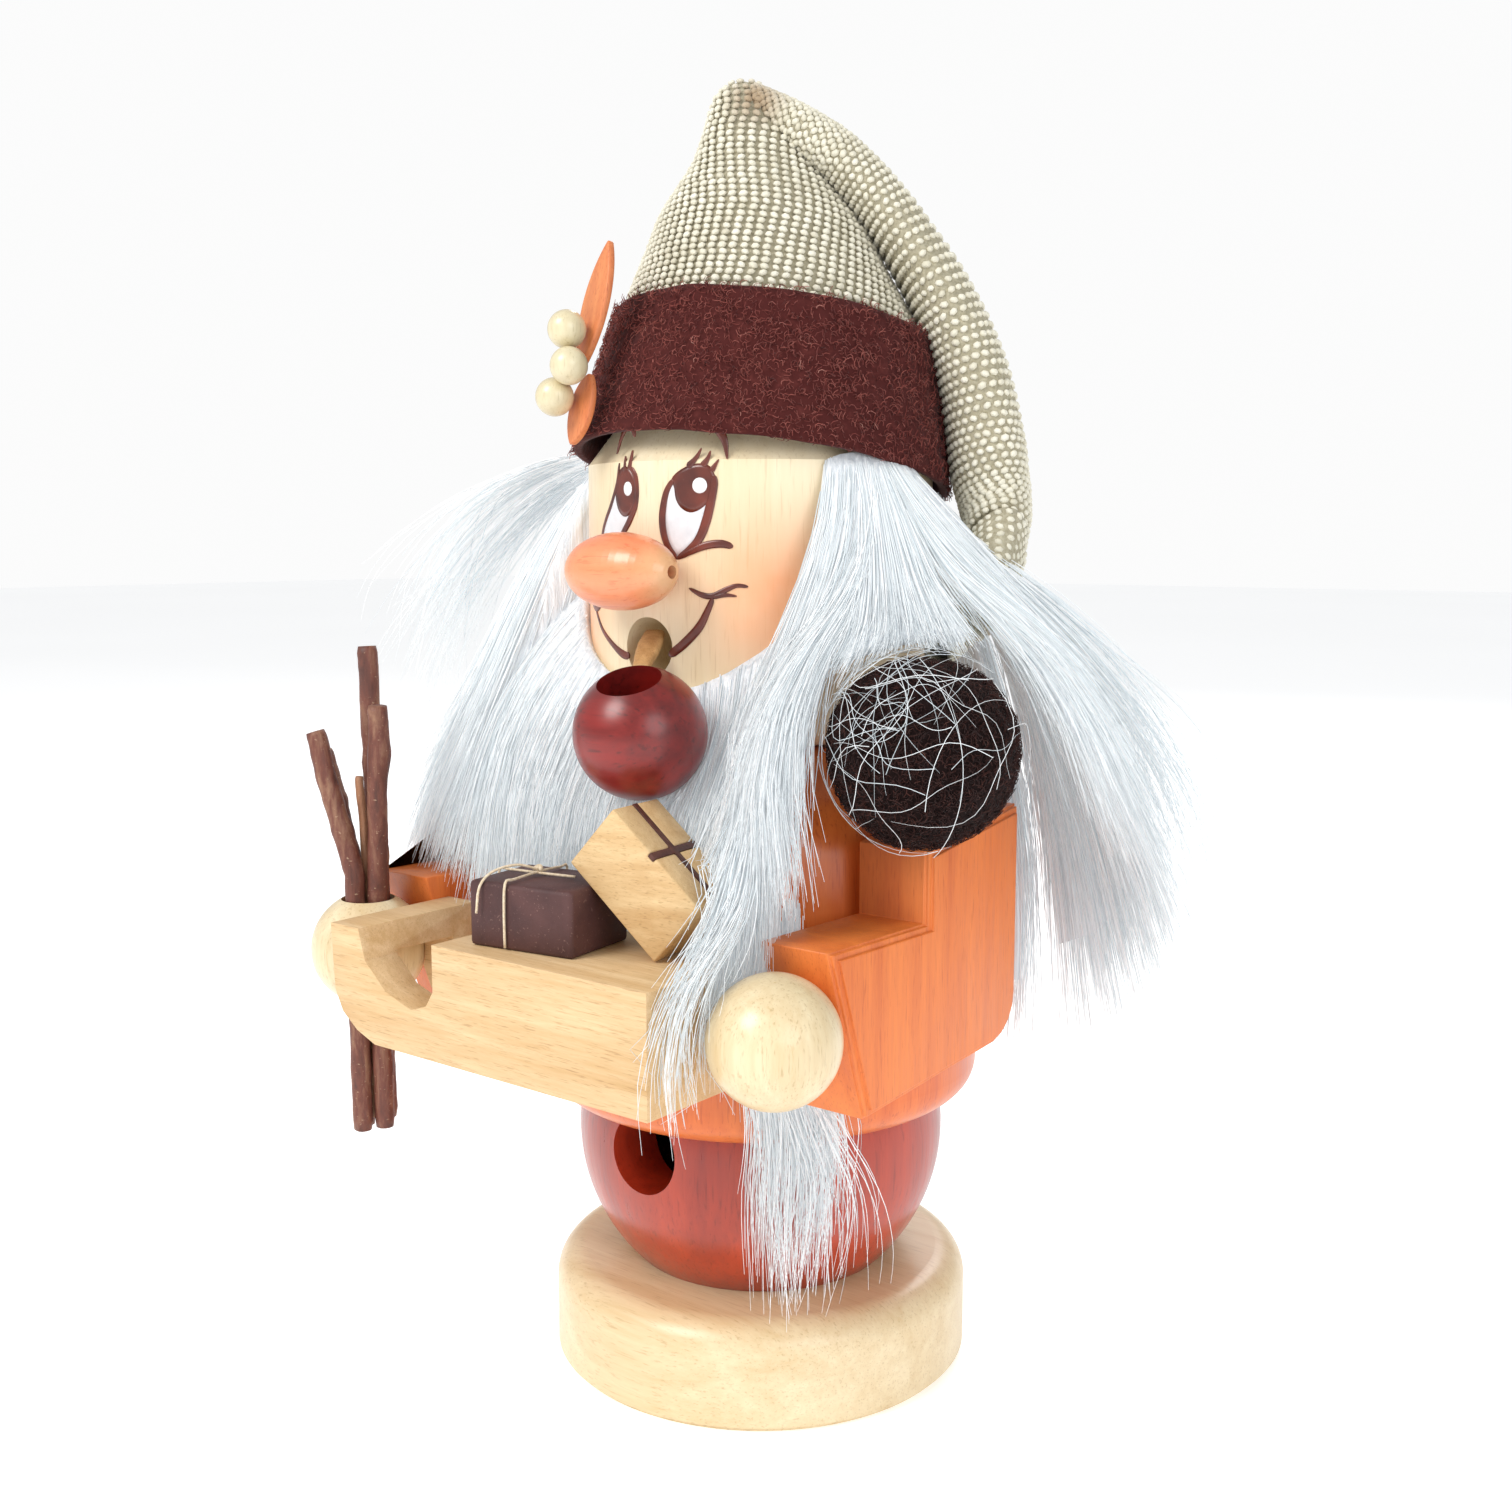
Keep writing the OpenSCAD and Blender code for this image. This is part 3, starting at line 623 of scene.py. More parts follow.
def stroke(name, stops, lift=0.09):
    """A brush stroke: each stop is across, height and width, all in mm."""
    stops = np.array([(x, z, 0, w) for x, z, w in stops])
    count = 6 * len(stops)
    line = path_points(stops[:, :3], count)[:, :2]
    width = np.interp(np.linspace(0, len(stops) - 1, count), range(len(stops)), stops[:, 3])
    along = np.gradient(line, axis=0)
    along /= np.linalg.norm(along, axis=1)[:, None]
    across = np.stack([-along[:, 1], along[:, 0]], 1)
    step = np.arange(count)
    ends = np.minimum(1, np.sqrt(np.minimum(step, step[::-1]) / 2.0 + 0.12))
    rows = [line + across * (width * ends * offset)[:, None]
            for offset in (-0.5, -0.17, 0.17, 0.5)]
    top = [on_face(row, lift) for row in rows]
    under = [on_face(row, -0.1) for row in rows[::-1]]
    loops = np.stack(top + under, 1).reshape(-1, 3)
    return solid(name, loops, rings_to_faces(count, 8), face_ink)


def patch_on_face(name, outline, lift, finish, rings=5):
    """A filled painted patch: its outline is drawn in towards its middle ring by ring."""
    outline = np.array(outline, float)
    n = len(outline)
    smooth = []
    for i in range(n):
        a, b, c, d = (outline[(i + k) % n] for k in (-1, 0, 1, 2))
        for u in (0, 0.34, 0.67):
            smooth.append(0.5 * (2 * b + (c - a) * u + (2 * a - 5 * b + 4 * c - d) * u ** 2
                                 + (3 * b - a - 3 * c + d) * u ** 3))
    smooth = np.array(smooth)
    middle = smooth.mean(0)
    rows = [on_face(smooth, -0.1)]
    for i in range(rings):
        rows.append(on_face(middle + (smooth - middle) * (1 - i / rings), lift))
    columns = len(smooth)
    points = np.vstack(rows + [on_face(middle[None], lift), on_face(middle[None], -0.1)])
    faces = rings_to_faces(len(rows), columns, caps=False)
    last = (len(rows) - 1) * columns
    for j in range(columns):
        k = (j + 1) % columns
        faces.append((last + j, last + k, len(points) - 2))
        faces.append((k, j, len(points) - 1))
    return solid(name, points, faces, finish)


def oval(x, z, half_w, half_h, n=14):
    turns = [2 * math.pi * i / n for i in range(n)]
    return [(x + half_w * math.cos(a), z + half_h * math.sin(a)) for a in turns]


face_parts = [
    patch_on_face("left_eye_white", [(3.0, 103.4), (2.6, 101.2), (2.6, 99.2), (3.1, 97.2),
                                     (4.0, 95.9), (5.6, 96.9), (6.6, 98.2), (7.3, 100.4),
                                     (7.6, 102.6), (6.0, 104.4), (4.2, 104.4)], 0.05, eye_white),
    patch_on_face("right_eye_white", [(-4.0, 104.6), (-4.8, 103.4), (-6.0, 101.3),
                                      (-7.4, 99.4), (-8.1, 97.6), (-6.6, 96.4), (-4.6, 96.8),
                                      (-3.5, 98.6), (-2.4, 100.2), (-1.8, 102.4),
                                      (-2.4, 104.6)], 0.05, eye_white),
    patch_on_face("left_iris", [(3.4, 104.0), (4.2, 104.8), (5.5, 105.4), (6.8, 105.6),
                                (7.8, 105.3), (8.3, 104.5), (8.5, 103.5), (8.2, 102.2),
                                (7.5, 101.4), (6.5, 100.7), (5.5, 100.5), (4.5, 101.0),
                                (3.9, 101.9), (3.7, 103.1)], 0.08, face_ink),
    patch_on_face("right_iris", oval(-3.3, 102.8, 1.8, 2.7), 0.08, face_ink),
    patch_on_face("left_glint", oval(6.7, 103.3, 0.82, 0.82), 0.12, glint_white, 3),
    patch_on_face("right_glint", oval(-2.8, 103.1, 0.66, 0.76), 0.12, glint_white, 3),
    stroke("left_eye_inner_line", [(3.6, 104.0, 0.5), (2.7, 102.6, 0.7), (2.2, 100.4, 0.85),
                                   (2.3, 98.5, 0.85), (2.9, 96.9, 0.75), (4.0, 95.6, 0.55)]),
    stroke("left_eye_outer_line", [(4.0, 95.6, 0.5), (5.7, 96.8, 0.75), (6.7, 97.9, 0.95),
                                   (7.4, 99.6, 1.0), (7.9, 101.5, 0.95), (8.3, 103.5, 0.8),
                                   (8.2, 104.4, 0.5)]),
    stroke("left_lower_lid", [(4.0, 95.6, 0.4), (5.7, 96.4, 0.7), (7.3, 97.0, 0.85),
                              (9.0, 97.2, 0.85), (10.3, 96.9, 0.6)]),
    stroke("left_lash_inner", [(5.3, 105.2, 0.8), (6.3, 106.2, 0.45), (6.9, 107.2, 0.15)]),
    stroke("left_lash_middle", [(7.0, 105.3, 0.8), (7.6, 106.1, 0.45), (7.9, 106.9, 0.15)]),
    stroke("left_lash_outer", [(8.0, 104.8, 0.7), (8.4, 105.4, 0.4), (8.8, 106.0, 0.15)]),
    stroke("right_eye_inner_line", [(-2.3, 105.4, 0.5), (-1.6, 104.4, 0.6), (-1.4, 102.8, 0.6),
                                    (-1.7, 101.2, 0.7), (-2.6, 99.7, 0.75), (-3.7, 98.4, 0.7),
                                    (-4.8, 97.0, 0.5)]),
    stroke("right_eye_outer_line", [(-4.3, 105.9, 0.3), (-4.8, 103.7, 0.4), (-6.0, 101.5, 0.5),
                                    (-7.4, 99.7, 0.5), (-8.2, 98.4, 0.5), (-8.7, 97.0, 0.4)]),
    stroke("right_lash_inner", [(-2.6, 105.2, 0.6), (-2.3, 106.2, 0.4), (-2.0, 107.2, 0.15)]),
    stroke("right_lash_outer", [(-3.4, 105.0, 0.5), (-3.3, 105.9, 0.3), (-3.2, 106.6, 0.12)]),
    stroke("right_brow", [(-4.8, 106.9, 0.15), (-3.9, 108.6, 0.35), (-3.0, 109.6, 0.5),
                          (-2.4, 109.8, 0.8), (-1.9, 109.4, 0.75), (-1.7, 108.6, 0.35)]),
    stroke("left_brow", [(8.5, 109.6, 1.2), (9.1, 108.6, 0.95), (9.5, 107.6, 0.65),
                         (9.7, 106.0, 0.2)]),
    stroke("smile_right", [(-11.1, 90.0, 0.3), (-8.8, 87.7, 0.45), (-6.0, 86.0, 0.6),
                           (-4.1, 85.1, 0.9), (-2.9, 84.9, 0.8)]),
    stroke("smile_left", [(2.9, 85.2, 0.9), (4.7, 86.5, 1.0), (6.5, 88.3, 0.95),
                          (7.5, 90.1, 0.7), (8.1, 91.5, 0.5)]),
    stroke("cheek_tick", [(5.4, 92.5, 0.3), (6.9, 91.8, 0.6), (8.1, 91.7, 0.65),
                          (9.6, 92.4, 0.6), (10.7, 92.8, 0.45), (11.9, 92.7, 0.35)]),
    stroke("cheek_prong", [(8.1, 91.5, 0.4), (9.4, 91.8, 0.45), (10.7, 91.7, 0.2)]),
    stroke("far_cheek_tick", [(-8.6, 90.6, 0.3), (-9.9, 90.0, 0.6), (-11.0, 89.9, 0.65),
                              (-12.4, 90.6, 0.6), (-13.6, 91.0, 0.35)]),
]
for part in face_parts:
    ride(part, "upper", "face_wood")


# ---------------------------------------------------------------- pipe stem, thread and twigs
def flat_stick(name, start, end, half_w, half_t, finish):
    """A flat split of wood with ragged rounded ends."""
    points = path_points([start, (np.array(start) + end) / 2 + (0.1, -0.1, 0.15), end], 12)
    _, side, up = frames_along(points)
    rows = []
    for i, p in enumerate(points):
        narrow = 0.72 + 0.28 * math.sin(math.pi * min(1, (i + 1.5) / 11))
        for j in range(12):
            a = 2 * math.pi * j / 12
            c, s = math.cos(a), math.sin(a)
            flat = (abs(c) ** 0.6 * math.copysign(1, c), abs(s) ** 0.6 * math.copysign(1, s))
            rough = 1 + 0.08 * noise.noise(Vector(p * 1.9) + Vector((c, s, 0)))
            rows.append(p + side[i] * flat[0] * half_w * narrow * rough
                        + up[i] * flat[1] * half_t * rough)
    return solid(name, rows, rings_to_faces(len(points), 12), finish)


stem = flat_stick("pipe_stem_stick", np.array([-0.2, -18.6, 87.4]), np.array([3.0, -24.6, 83.9]),
                  1.35, 0.55, stem_wood)
ride(stem, "upper", "stem_wood", "pipe_stem")


def at_parcels(x, y, z):
    c, s = math.cos(PARCEL_TURN), math.sin(PARCEL_TURN)
    return (PARCELS[0] + x * c - y * s, PARCELS[1] + x * s + y * c, PARCELS[2] + z)


thread_runs = [
    [at_parcels(-13.15, 5.1, 0.3), at_parcels(-13.15, 5.1, 4), at_parcels(-13.0, 5.1, 6.9),
     at_parcels(-11.6, 5.1, 7.12), at_parcels(-8.0, 5.0, 7.15), at_parcels(-3.4, 5.3, 7.12)],
    [at_parcels(-8.2, -0.22, 0.3), at_parcels(-8.2, -0.26, 4), at_parcels(-8.1, -0.1, 6.95),
     at_parcels(-8.0, 1.2, 7.12), at_parcels(-7.9, 5, 7.25), at_parcels(-7.9, 8.8, 7.1),
     at_parcels(-7.9, 10.05, 6.6), at_parcels(-7.9, 10.1, 0.4)],
    [at_parcels(-7.9, 5.1, 7.5), at_parcels(-9.3, 3.4, 8.1), at_parcels(-10.6, 1.2, 7.7),
     at_parcels(-11.2, -0.3, 6.4), at_parcels(-11.5, -0.6, 3.6)],
]
parcel_string = []
for i, run in enumerate(thread_runs):
    parcel_string.append(tube("string_run_%d" % i, path_points(run, 26), 0.14, pale_thread, 8,
                              0.12, i))
knot = tube("string_knot", path_points([at_parcels(-8.4, 4.8, 7.45), at_parcels(-7.9, 5.3, 7.7),
                                        at_parcels(-7.4, 4.9, 7.45)], 9),
            [0.12, 0.24, 0.28, 0.3, 0.32, 0.3, 0.28, 0.22, 0.12], pale_thread, 10, 0.2)
parcel_string.append(knot)


def joined(name, parts):
    """Several meshes at the origin made into one piece."""
    bm = bmesh.new()
    finish = parts[0].data.materials[0]
    for part in parts:
        bm.from_mesh(part.data)
        bpy.data.objects.remove(part)
    mesh = bpy.data.meshes.new(name)
    bm.to_mesh(mesh)
    bm.free()
    mesh.materials.append(finish)
    piece = bpy.data.objects.new(name, mesh)
    bpy.context.scene.collection.objects.link(piece)
    return piece


ride(joined("parcel_string", parcel_string), "upper", "pale_thread", "parcel_thread")


def twig_stick(name, node, foot, bend, top, radius, finish, seed):
    """A cut twig: slightly crooked and thicker at its buds, its ends cut square."""
    stops = [np.array([-HAND_X + foot[0], HAND_Y + foot[1], foot[2]])]
    knee = np.array([stops[0][0], stops[0][1], HAND_Z + 6.5 + bend])
    top = np.array(top)
    line = np.vstack([path_points([stops[0], (stops[0] + knee) / 2, knee], 26)[:-1],
                      path_points([knee, (knee + top) / 2, top], 34)])
    local = np.random.default_rng(seed)
    z = line[:, 2]
    sway = np.interp(z, [foot[2], HAND_Z - 7, HAND_Z + 7, top[2]], [0.25, 0, 0, 0.4])
    for axis in (0, 1):
        wave = np.array([noise.noise(Vector((v * 0.17, seed * 3.1, axis * 5.0))) for v in z])
        line[:, axis] += wave * sway
    girth = np.full(len(line), radius * 0.97)
    for bud in local.uniform(foot[2] + 4, top[2] - 4, 4):
        swell = np.exp(-((z - bud) / 0.9) ** 2)
        girth *= 1 + 0.1 * swell * (abs(z - HAND_Z) > 7.5)
    girth[0] *= 0.9
    girth[-1] *= 0.9
    ride(tube(name, line, girth, finish, 14, 0.1, seed), "upper", "twig_bark", node)


twig_stick("twig_outer_stick", "twig_outer", (-1.75, 0, 29.6), 1, (-36, -36, 73.5), 1.18,
           twig_bark, 1)
twig_stick("twig_front_stick", "twig_front", (0, -1.75, 30), 2.2, (-33.2, -39.3, 76.2), 1.18,
           twig_bark, 2)
twig_stick("twig_tall_stick", "twig_tall", (0, 1.75, 30.6), 2.2, (-31.2, -33.2, 85.6), 1.18,
           twig_bark, 3)
twig_stick("twig_inner_stick", "twig_inner", (1.75, 0, 30.2), 1, (-26.6, -35.4, 79.2), 1.18,
           twig_bark, 4)
twig_stick("twig_thin_stick", "twig_thin", (0, 0, 31), 1.6, (-29.6, -36, 71), 0.5,
           straw_bark, 5)


# ---------------------------------------------------------------- the fleece band
def from_band(points):
    """From the band's own leaning frame to the figure's."""
    points = np.asarray(points, float)
    c, s = math.cos(BAND_LEAN), math.sin(BAND_LEAN)
    x, y, z = points[:, 0], points[:, 1], points[:, 2]
    return np.stack([x, c * y - s * z, s * y + c * z + BAND_Z], 1)


def pile(name, points, outward, length, finish, seed, steps=4, thickness=0.12, lay=0.9):
    """Short curly fibres standing on a surface."""
    local = np.random.default_rng(seed)
    count = len(points)
    drift = local.normal(size=(count, 3))
    drift -= outward * (drift * outward).sum(1)[:, None]
    drift /= np.linalg.norm(drift, axis=1)[:, None]
    curl = np.cross(outward, drift)
    reach = length * local.uniform(0.55, 1.15, count)
    t = np.linspace(0, 1, steps)
    lines = (points[:, None] - outward[:, None] * 0.12
             + outward[:, None] * (np.sin(t * 1.7) * 0.62)[None, :, None] * reach[:, None, None]
             + drift[:, None] * (t ** 1.5)[None, :, None] * (reach * lay)[:, None, None]
             + curl[:, None] * (np.sin(t * 3.4) * 0.4)[None, :, None] * reach[:, None, None])
    tint = np.clip(local.normal(0.46, 0.2, count), 0, 1)
    return hairs(name, lines, thickness, finish, tint, 1 - 0.5 * t)


def band_surface():
    """The band's closed soft wall: outside, rounded edges and the inside against the head."""
    columns = 192
    rows = []
    heights = [(-0.01, -0.5), (0.0, 0.0), *((h, 0.0) for h in np.linspace(0.06, 0.94, 18)),
               (1.0, -0.1), (1.005, -0.7), (0.9, -2.0)]
    for h, inset in heights:
        level = h * BAND_H
        r = BAND_R + (BAND_TOP_R - BAND_R) * h + inset
        edge = min(1, min(h + 0.02, 1.0 - h + 0.02) * 7)
        ring = []
        for j in range(columns):
            a = 2 * math.pi * j / columns
            p = Vector((math.cos(a) * r, math.sin(a) * r, level))
            lump = 0.28 * noise.noise(p * 0.35) + 0.14 * noise.noise(p * 1.3)
            wavy = 0.3 * noise.noise(Vector((a * 3.2, h * 2, 4.0)))
            ring.append(((r - 0.35 + lump * edge) * math.cos(a),
                         (r - 0.35 + lump * edge) * math.sin(a), level + wavy * (1 - edge)))
        rows.append(ring)
    for h, r in ((0.97, BAND_TOP_R - 2.9), (0.8, BAND_TOP_R - 2.6), (0.5, HEAD_R + 0.35),
                 (0.12, HEAD_R + 0.4), (0, HEAD_R + 0.9)):
        rows.append([(r * math.cos(2 * math.pi * j / columns),
                      r * math.sin(2 * math.pi * j / columns), BAND_H * h)
                     for j in range(columns)])
    return rows, columns


band_rows, columns = band_surface()
band_faces = rings_to_faces(len(band_rows), columns, caps=False)
last = (len(band_rows) - 1) * columns
for j in range(columns):
    k = (j + 1) % columns
    band_faces.append((k, j, last + j, last + k))
band_base = solid("hat_band_felt", from_band(np.array(band_rows).reshape(-1, 3)), band_faces,
                  band_fleece)
ride(band_base, "upper", "brown_fleece", "hat_band")

local = np.random.default_rng(31)
count = 9300
a = local.uniform(0, 2 * math.pi, count)
h = local.uniform(-0.01, 1.01, count)
r = BAND_R + (BAND_TOP_R - BAND_R) * h - 0.35
seat = from_band(np.stack([r * np.cos(a), r * np.sin(a), h * BAND_H], 1))
out = from_band(np.stack([np.cos(a), np.sin(a), np.full(count, 0.16)], 1)) - (0, 0, BAND_Z)
out /= np.linalg.norm(out, axis=1)[:, None]
ride(pile("hat_band_pile", seat, out, 0.85, band_fleece, 32), "upper", "brown_fleece")


# ---------------------------------------------------------------- the pompom
def pompom_radius(direction):
    """The gathered ball: soft lobes drawn in towards the tie at its top."""
    d = Vector(direction)
    lobes = 0.35 * noise.noise(d * 1.6) + 0.2 * noise.noise(d * 4.0)
    dent = 1.1 * math.exp(-((d - Vector((-0.2, 0.45, 0.87)).normalized()).length / 0.5) ** 2)
    return POMPOM_R - 0.75 + lobes - dent


sphere = bmesh.new()
bmesh.ops.create_icosphere(sphere, subdivisions=5, radius=1.0)
ball_points = []
for v in sphere.verts:
    d = v.co.normalized()
    ball_points.append(POMPOM + np.array(d) * pompom_radius(d))
ball_faces = [tuple(v.index for v in f.verts) for f in sphere.faces]
sphere.free()
pompom_base = solid("pompom_felt", ball_points, ball_faces, pompom_fleece)
ride(pompom_base, "pompom", "dark_fleece", "pompom")

local = np.random.default_rng(41)
out = local.normal(size=(9300, 3))
out /= np.linalg.norm(out, axis=1)[:, None]
seat = np.array([POMPOM + d * pompom_radius(d) for d in out])
ride(pile("pompom_pile", seat, out, 0.95, pompom_fleece, 42), "pompom", "dark_fleece")


def crossing_hairs(count, seed):
    """Loose white hairs that lie over the ball, each a bent arc near its surface."""
    local = np.random.default_rng(seed)
    t = np.linspace(-1, 1, 16)
    lines = []
    for _ in range(count):
        middle = np.array((-0.1, -0.75, 0.5)) + local.normal(size=3) * 0.55
        middle /= np.linalg.norm(middle)
        run = np.cross(middle, local.normal(size=3))
        run /= np.linalg.norm(run)
        bend = np.cross(middle, run)
        half = local.uniform(0.35, 1.15)
        curl = local.normal(0, 0.4)
        wave = local.uniform(0.02, 0.09) * np.sin(local.uniform(2, 7) * t + local.uniform(0, 6))
        path = (middle * np.cos(half * t)[:, None] + run * np.sin(half * t)[:, None]
                + bend * (curl * (t ** 2 - 0.3) + wave)[:, None])
        path /= np.linalg.norm(path, axis=1)[:, None]
        lift = POMPOM_R + 0.1 + local.uniform(0, 0.5) + 0.3 * np.abs(t) ** 3
        lines.append(POMPOM + path * lift[:, None])
    return np.array(lines)


ride(hairs("pompom_crossing_hairs", crossing_hairs(58, 43), 0.08, fur,
           np.random.default_rng(44).uniform(0.0, 0.8, 58)), "pompom", "white_fur")


# ---------------------------------------------------------------- the woven hat
def crown_point(a, h):
    """A point of the crown: the angle round it, and a height of 0 at the band and 1 at the peak."""
    c, s, r = math.cos(a), math.sin(a), BAND_TOP_R - 0.15
    seat, low = from_band(np.array([[c * r, s * r, BAND_H - 1.0], [0, 0, BAND_H - 1.0]]))
    z = low[2] + (PEAK[2] - low[2]) * h
    profile = np.interp(h, [0, 0.1, 0.18, 0.29, 0.42, 0.49, 0.56, 0.62, 0.68, 0.75, 0.81,
                            0.87, 0.93, 0.98, 1.0],
                        [17.3, 16.6, 15.5, 13.9, 12.2, 10.9, 9.4, 8.1, 6.9, 5.9, 5.1, 4.4,
                         3.5, 2.1, 0.4])
    centre = np.array([np.interp(h, [0, 1], [0, PEAK[0]]),
                       np.interp(h, [0, 0.6, 1], [low[1], 1.4, PEAK[1]]), z])
    point = centre + np.array([c, s, 0]) * profile
    point[2] += (seat[2] - low[2]) * (1 - h) ** 1.3
    return point


STITCH_PITCH = 1.22
STITCH_LONG, STITCH_WIDE, STITCH_THICK = 0.52, 0.46, 0.62
STITCH_SLANT = 0.35


def weave(name, surface, rows, seed):
    """Yarn stitches laid in offset rows over a surface given by two parameters."""
    local = np.random.default_rng(seed)
    e = 1e-3
    places, turns, sizes = [], [], []
    for i in range(rows):
        h = (i + 0.5) / rows
        ring = np.array([surface(2 * math.pi * k / 48, h) for k in range(49)])
        walked = np.append(0, np.cumsum(np.linalg.norm(np.diff(ring, axis=0), axis=1)))
        n = max(5, int(round(walked[-1] / STITCH_PITCH)))
        for j in range(n):
            reach = (j + (i % 2) * 0.5 + local.normal(0, 0.03)) / n % 1.0
            a = np.interp(reach * walked[-1], walked, np.linspace(0, 2 * math.pi, 49))
            p = np.array(surface(a, h))
            across = np.array(surface(a + e * 20, h)) - p
            along = (np.array(surface(a, min(1, h + e * 5)))
                     - np.array(surface(a, max(0, h - e * 5))))
            across /= np.linalg.norm(across) + 1e-12
            normal = np.cross(across, along)
            if np.linalg.norm(normal) < 1e-9:
                continue
            normal /= np.linalg.norm(normal)
            up = np.cross(normal, across)
            tilt = (STITCH_SLANT if i % 2 else -STITCH_SLANT) + local.normal(0, 0.1)
            main = across * math.cos(tilt) + up * math.sin(tilt)
            other = np.cross(normal, main)
            basis = Matrix((main, other, normal)).transposed()
            places.append(p + normal * 0.12)
            turns.append(tuple(basis.to_euler()))
            s = local.normal(1, 0.06)
            sizes.append((STITCH_LONG * 2 * s, STITCH_WIDE * 2 * s * 0.82, STITCH_THICK * s))
    places = np.array(places)
    tint = np.clip(local.normal(0.5, 0.18, len(places)), 0, 1)
    return run_tree(name, places, [], {"turn": np.array(turns), "size": np.array(sizes),
                                       "tint": tint}, STITCH_TREE, {"Stitch": 0.5 * MM}, yarn)


# The tail's middle line, with half its width across and half its depth, from peak to pompom.
TAIL = [
    ((-1.0, -1.0, 147.0), 2.0, 2.0), ((1.8, 0.6, 145.4), 2.3, 2.6),
    ((5.0, 2.1, 143.0), 2.6, 3.6), ((8.1, 4.3, 139.9), 2.8, 4.6),
    ((12.5, 7.3, 134.0), 3.1, 5.8), ((17.7, 10.2, 125.0), 3.5, 7.4),
    ((20.9, 11.9, 116.0), 3.9, 8.8), ((23.0, 12.2, 106.4), 4.3, 9.0),
    ((25.4, 10.9, 98.6), 3.6, 7.2), ((28.0, 4.2, 92.0), 2.5, 4.2),
    ((30.6, -5.4, 88.8), 1.8, 2.0), ((32.4, -12.6, 86.2), 1.2, 1.2),
]
TAIL_STEPS = 80
tail_line = path_points([t[0] for t in TAIL], TAIL_STEPS)
tail_at = np.linspace(0, TAIL_STEPS - 1, len(TAIL))
tail_half = np.stack([np.interp(np.arange(TAIL_STEPS), tail_at, [t[k] for t in TAIL])
                      for k in (1, 2)], 1)
tail_run = np.gradient(tail_line, axis=0)
tail_run /= np.linalg.norm(tail_run, axis=1)[:, None]
TAIL_ACROSS = np.array([0.789, 0.614, 0])


def tail_point(a, h):
    """A point of the folded tail: a flattened sleeve whose broad sides face across the head."""
    k = h * (TAIL_STEPS - 1.001)
    i = int(k)
    u = k - i
    centre = tail_line[i] * (1 - u) + tail_line[i + 1] * u
    run = tail_run[i] * (1 - u) + tail_run[i + 1] * u
    wide, deep = tail_half[i] * (1 - u) + tail_half[i + 1] * u
    side = TAIL_ACROSS - run * np.dot(TAIL_ACROSS, run)
    if np.linalg.norm(side) < 0.35:
        side = np.array([0, 0, 1.0]) - run * run[2]
    side /= np.linalg.norm(side)
    back = np.cross(run, side)
    if back[1] < 0 and h < 0.75:
        back = -back
    c, s = math.cos(a), math.sin(a)
    fold = 1 + 0.05 * math.sin(3 * a + 5 * h) + 0.1 * noise.noise(Vector((c, s, h * 5)))
    return centre + (side * c * wide + back * s * deep) * fold


def under_cloth(name, surface, rows, columns, shrink):
    """The cloth under the stitches, with its real thickness; its colour, darker than the yarn,
    paints the shade in the gaps between stitches.
    """
    points = []
    for i in range(rows):
        h = i / (rows - 1)
        ring = np.array([surface(2 * math.pi * j / columns, h) for j in range(columns)])
        middle = ring.mean(0)
        away = ring - middle
        away *= np.maximum(0, 1 - shrink / (np.linalg.norm(away, axis=1)[:, None] + 1e-9))
        points.extend(middle + away)
    faces = rings_to_faces(rows, columns, caps=False)
    source = solid(name + "_source", points, faces, gap_shade_ground)
    wall = source.modifiers.new("cloth", "SOLIDIFY")
    wall.thickness = 0.4 * MM
    wall.offset = -1
    return baked(name, source, gap_shade_ground)


crown_cloth = under_cloth("hat_crown_cloth", crown_point, 60, 96, 0.2)
ride(crown_cloth, "upper", "hat_cloth", "hat")
tail_cloth = under_cloth("hat_tail_cloth", tail_point, 90, 64, 0.2)
ride(tail_cloth, "upper", "hat_cloth")
ride(weave("hat_crown_weave", crown_point, 34, 51), "upper", "hat_cloth")
ride(weave("hat_tail_weave", tail_point, 96, 52), "upper", "hat_cloth")


# ---------------------------------------------------------------- white fur
def sheet_of_hair(guides, count, steps, seed, spread=1.0, fan=2.6, short=0.62, wave=0.5,
                  along_root=0.0):
    """Hairs between neighbouring guides, each with its own length, spread and waviness."""
    local = np.random.default_rng(seed)
    curves = np.array([path_points(g, steps) for g in guides])
    s = local.uniform(0, len(guides) - 1 - 1e-6, count)
    i = s.astype(int)
    u = (s - i)[:, None, None]
    lines = curves[i] * (1 - u) + curves[i + 1] * u
    t = np.linspace(0, 1, steps)
    keep = local.uniform(short, 1.04, count) ** 0.8
    start = local.uniform(0, along_root, count)
    pos = (start[:, None] + (keep - start)[:, None] * t[None]) * (steps - 1)
    low = np.clip(pos.astype(int), 0, steps - 2)
    f = (pos - low)[..., None]
    row = np.arange(count)[:, None]
    lines = lines[row, low] * (1 - f) + lines[row, low + 1] * f
    offset = local.normal(size=(count, 3))
    grow = (0.35 * spread + fan * t ** 1.4)
    lines += offset[:, None] * grow[None, :, None] * np.array([0.5, 0.5, 0.28])
    for axis in range(3):
        phase = local.uniform(0, 6.28, count)[:, None]
        rate = local.uniform(1.5, 5.5, count)[:, None]
        size = (local.gamma(1.6, 0.35, count) * wave)[:, None]
        lines[..., axis] += np.sin(phase + rate * t[None]) * size * t[None] ** 0.9
    return lines


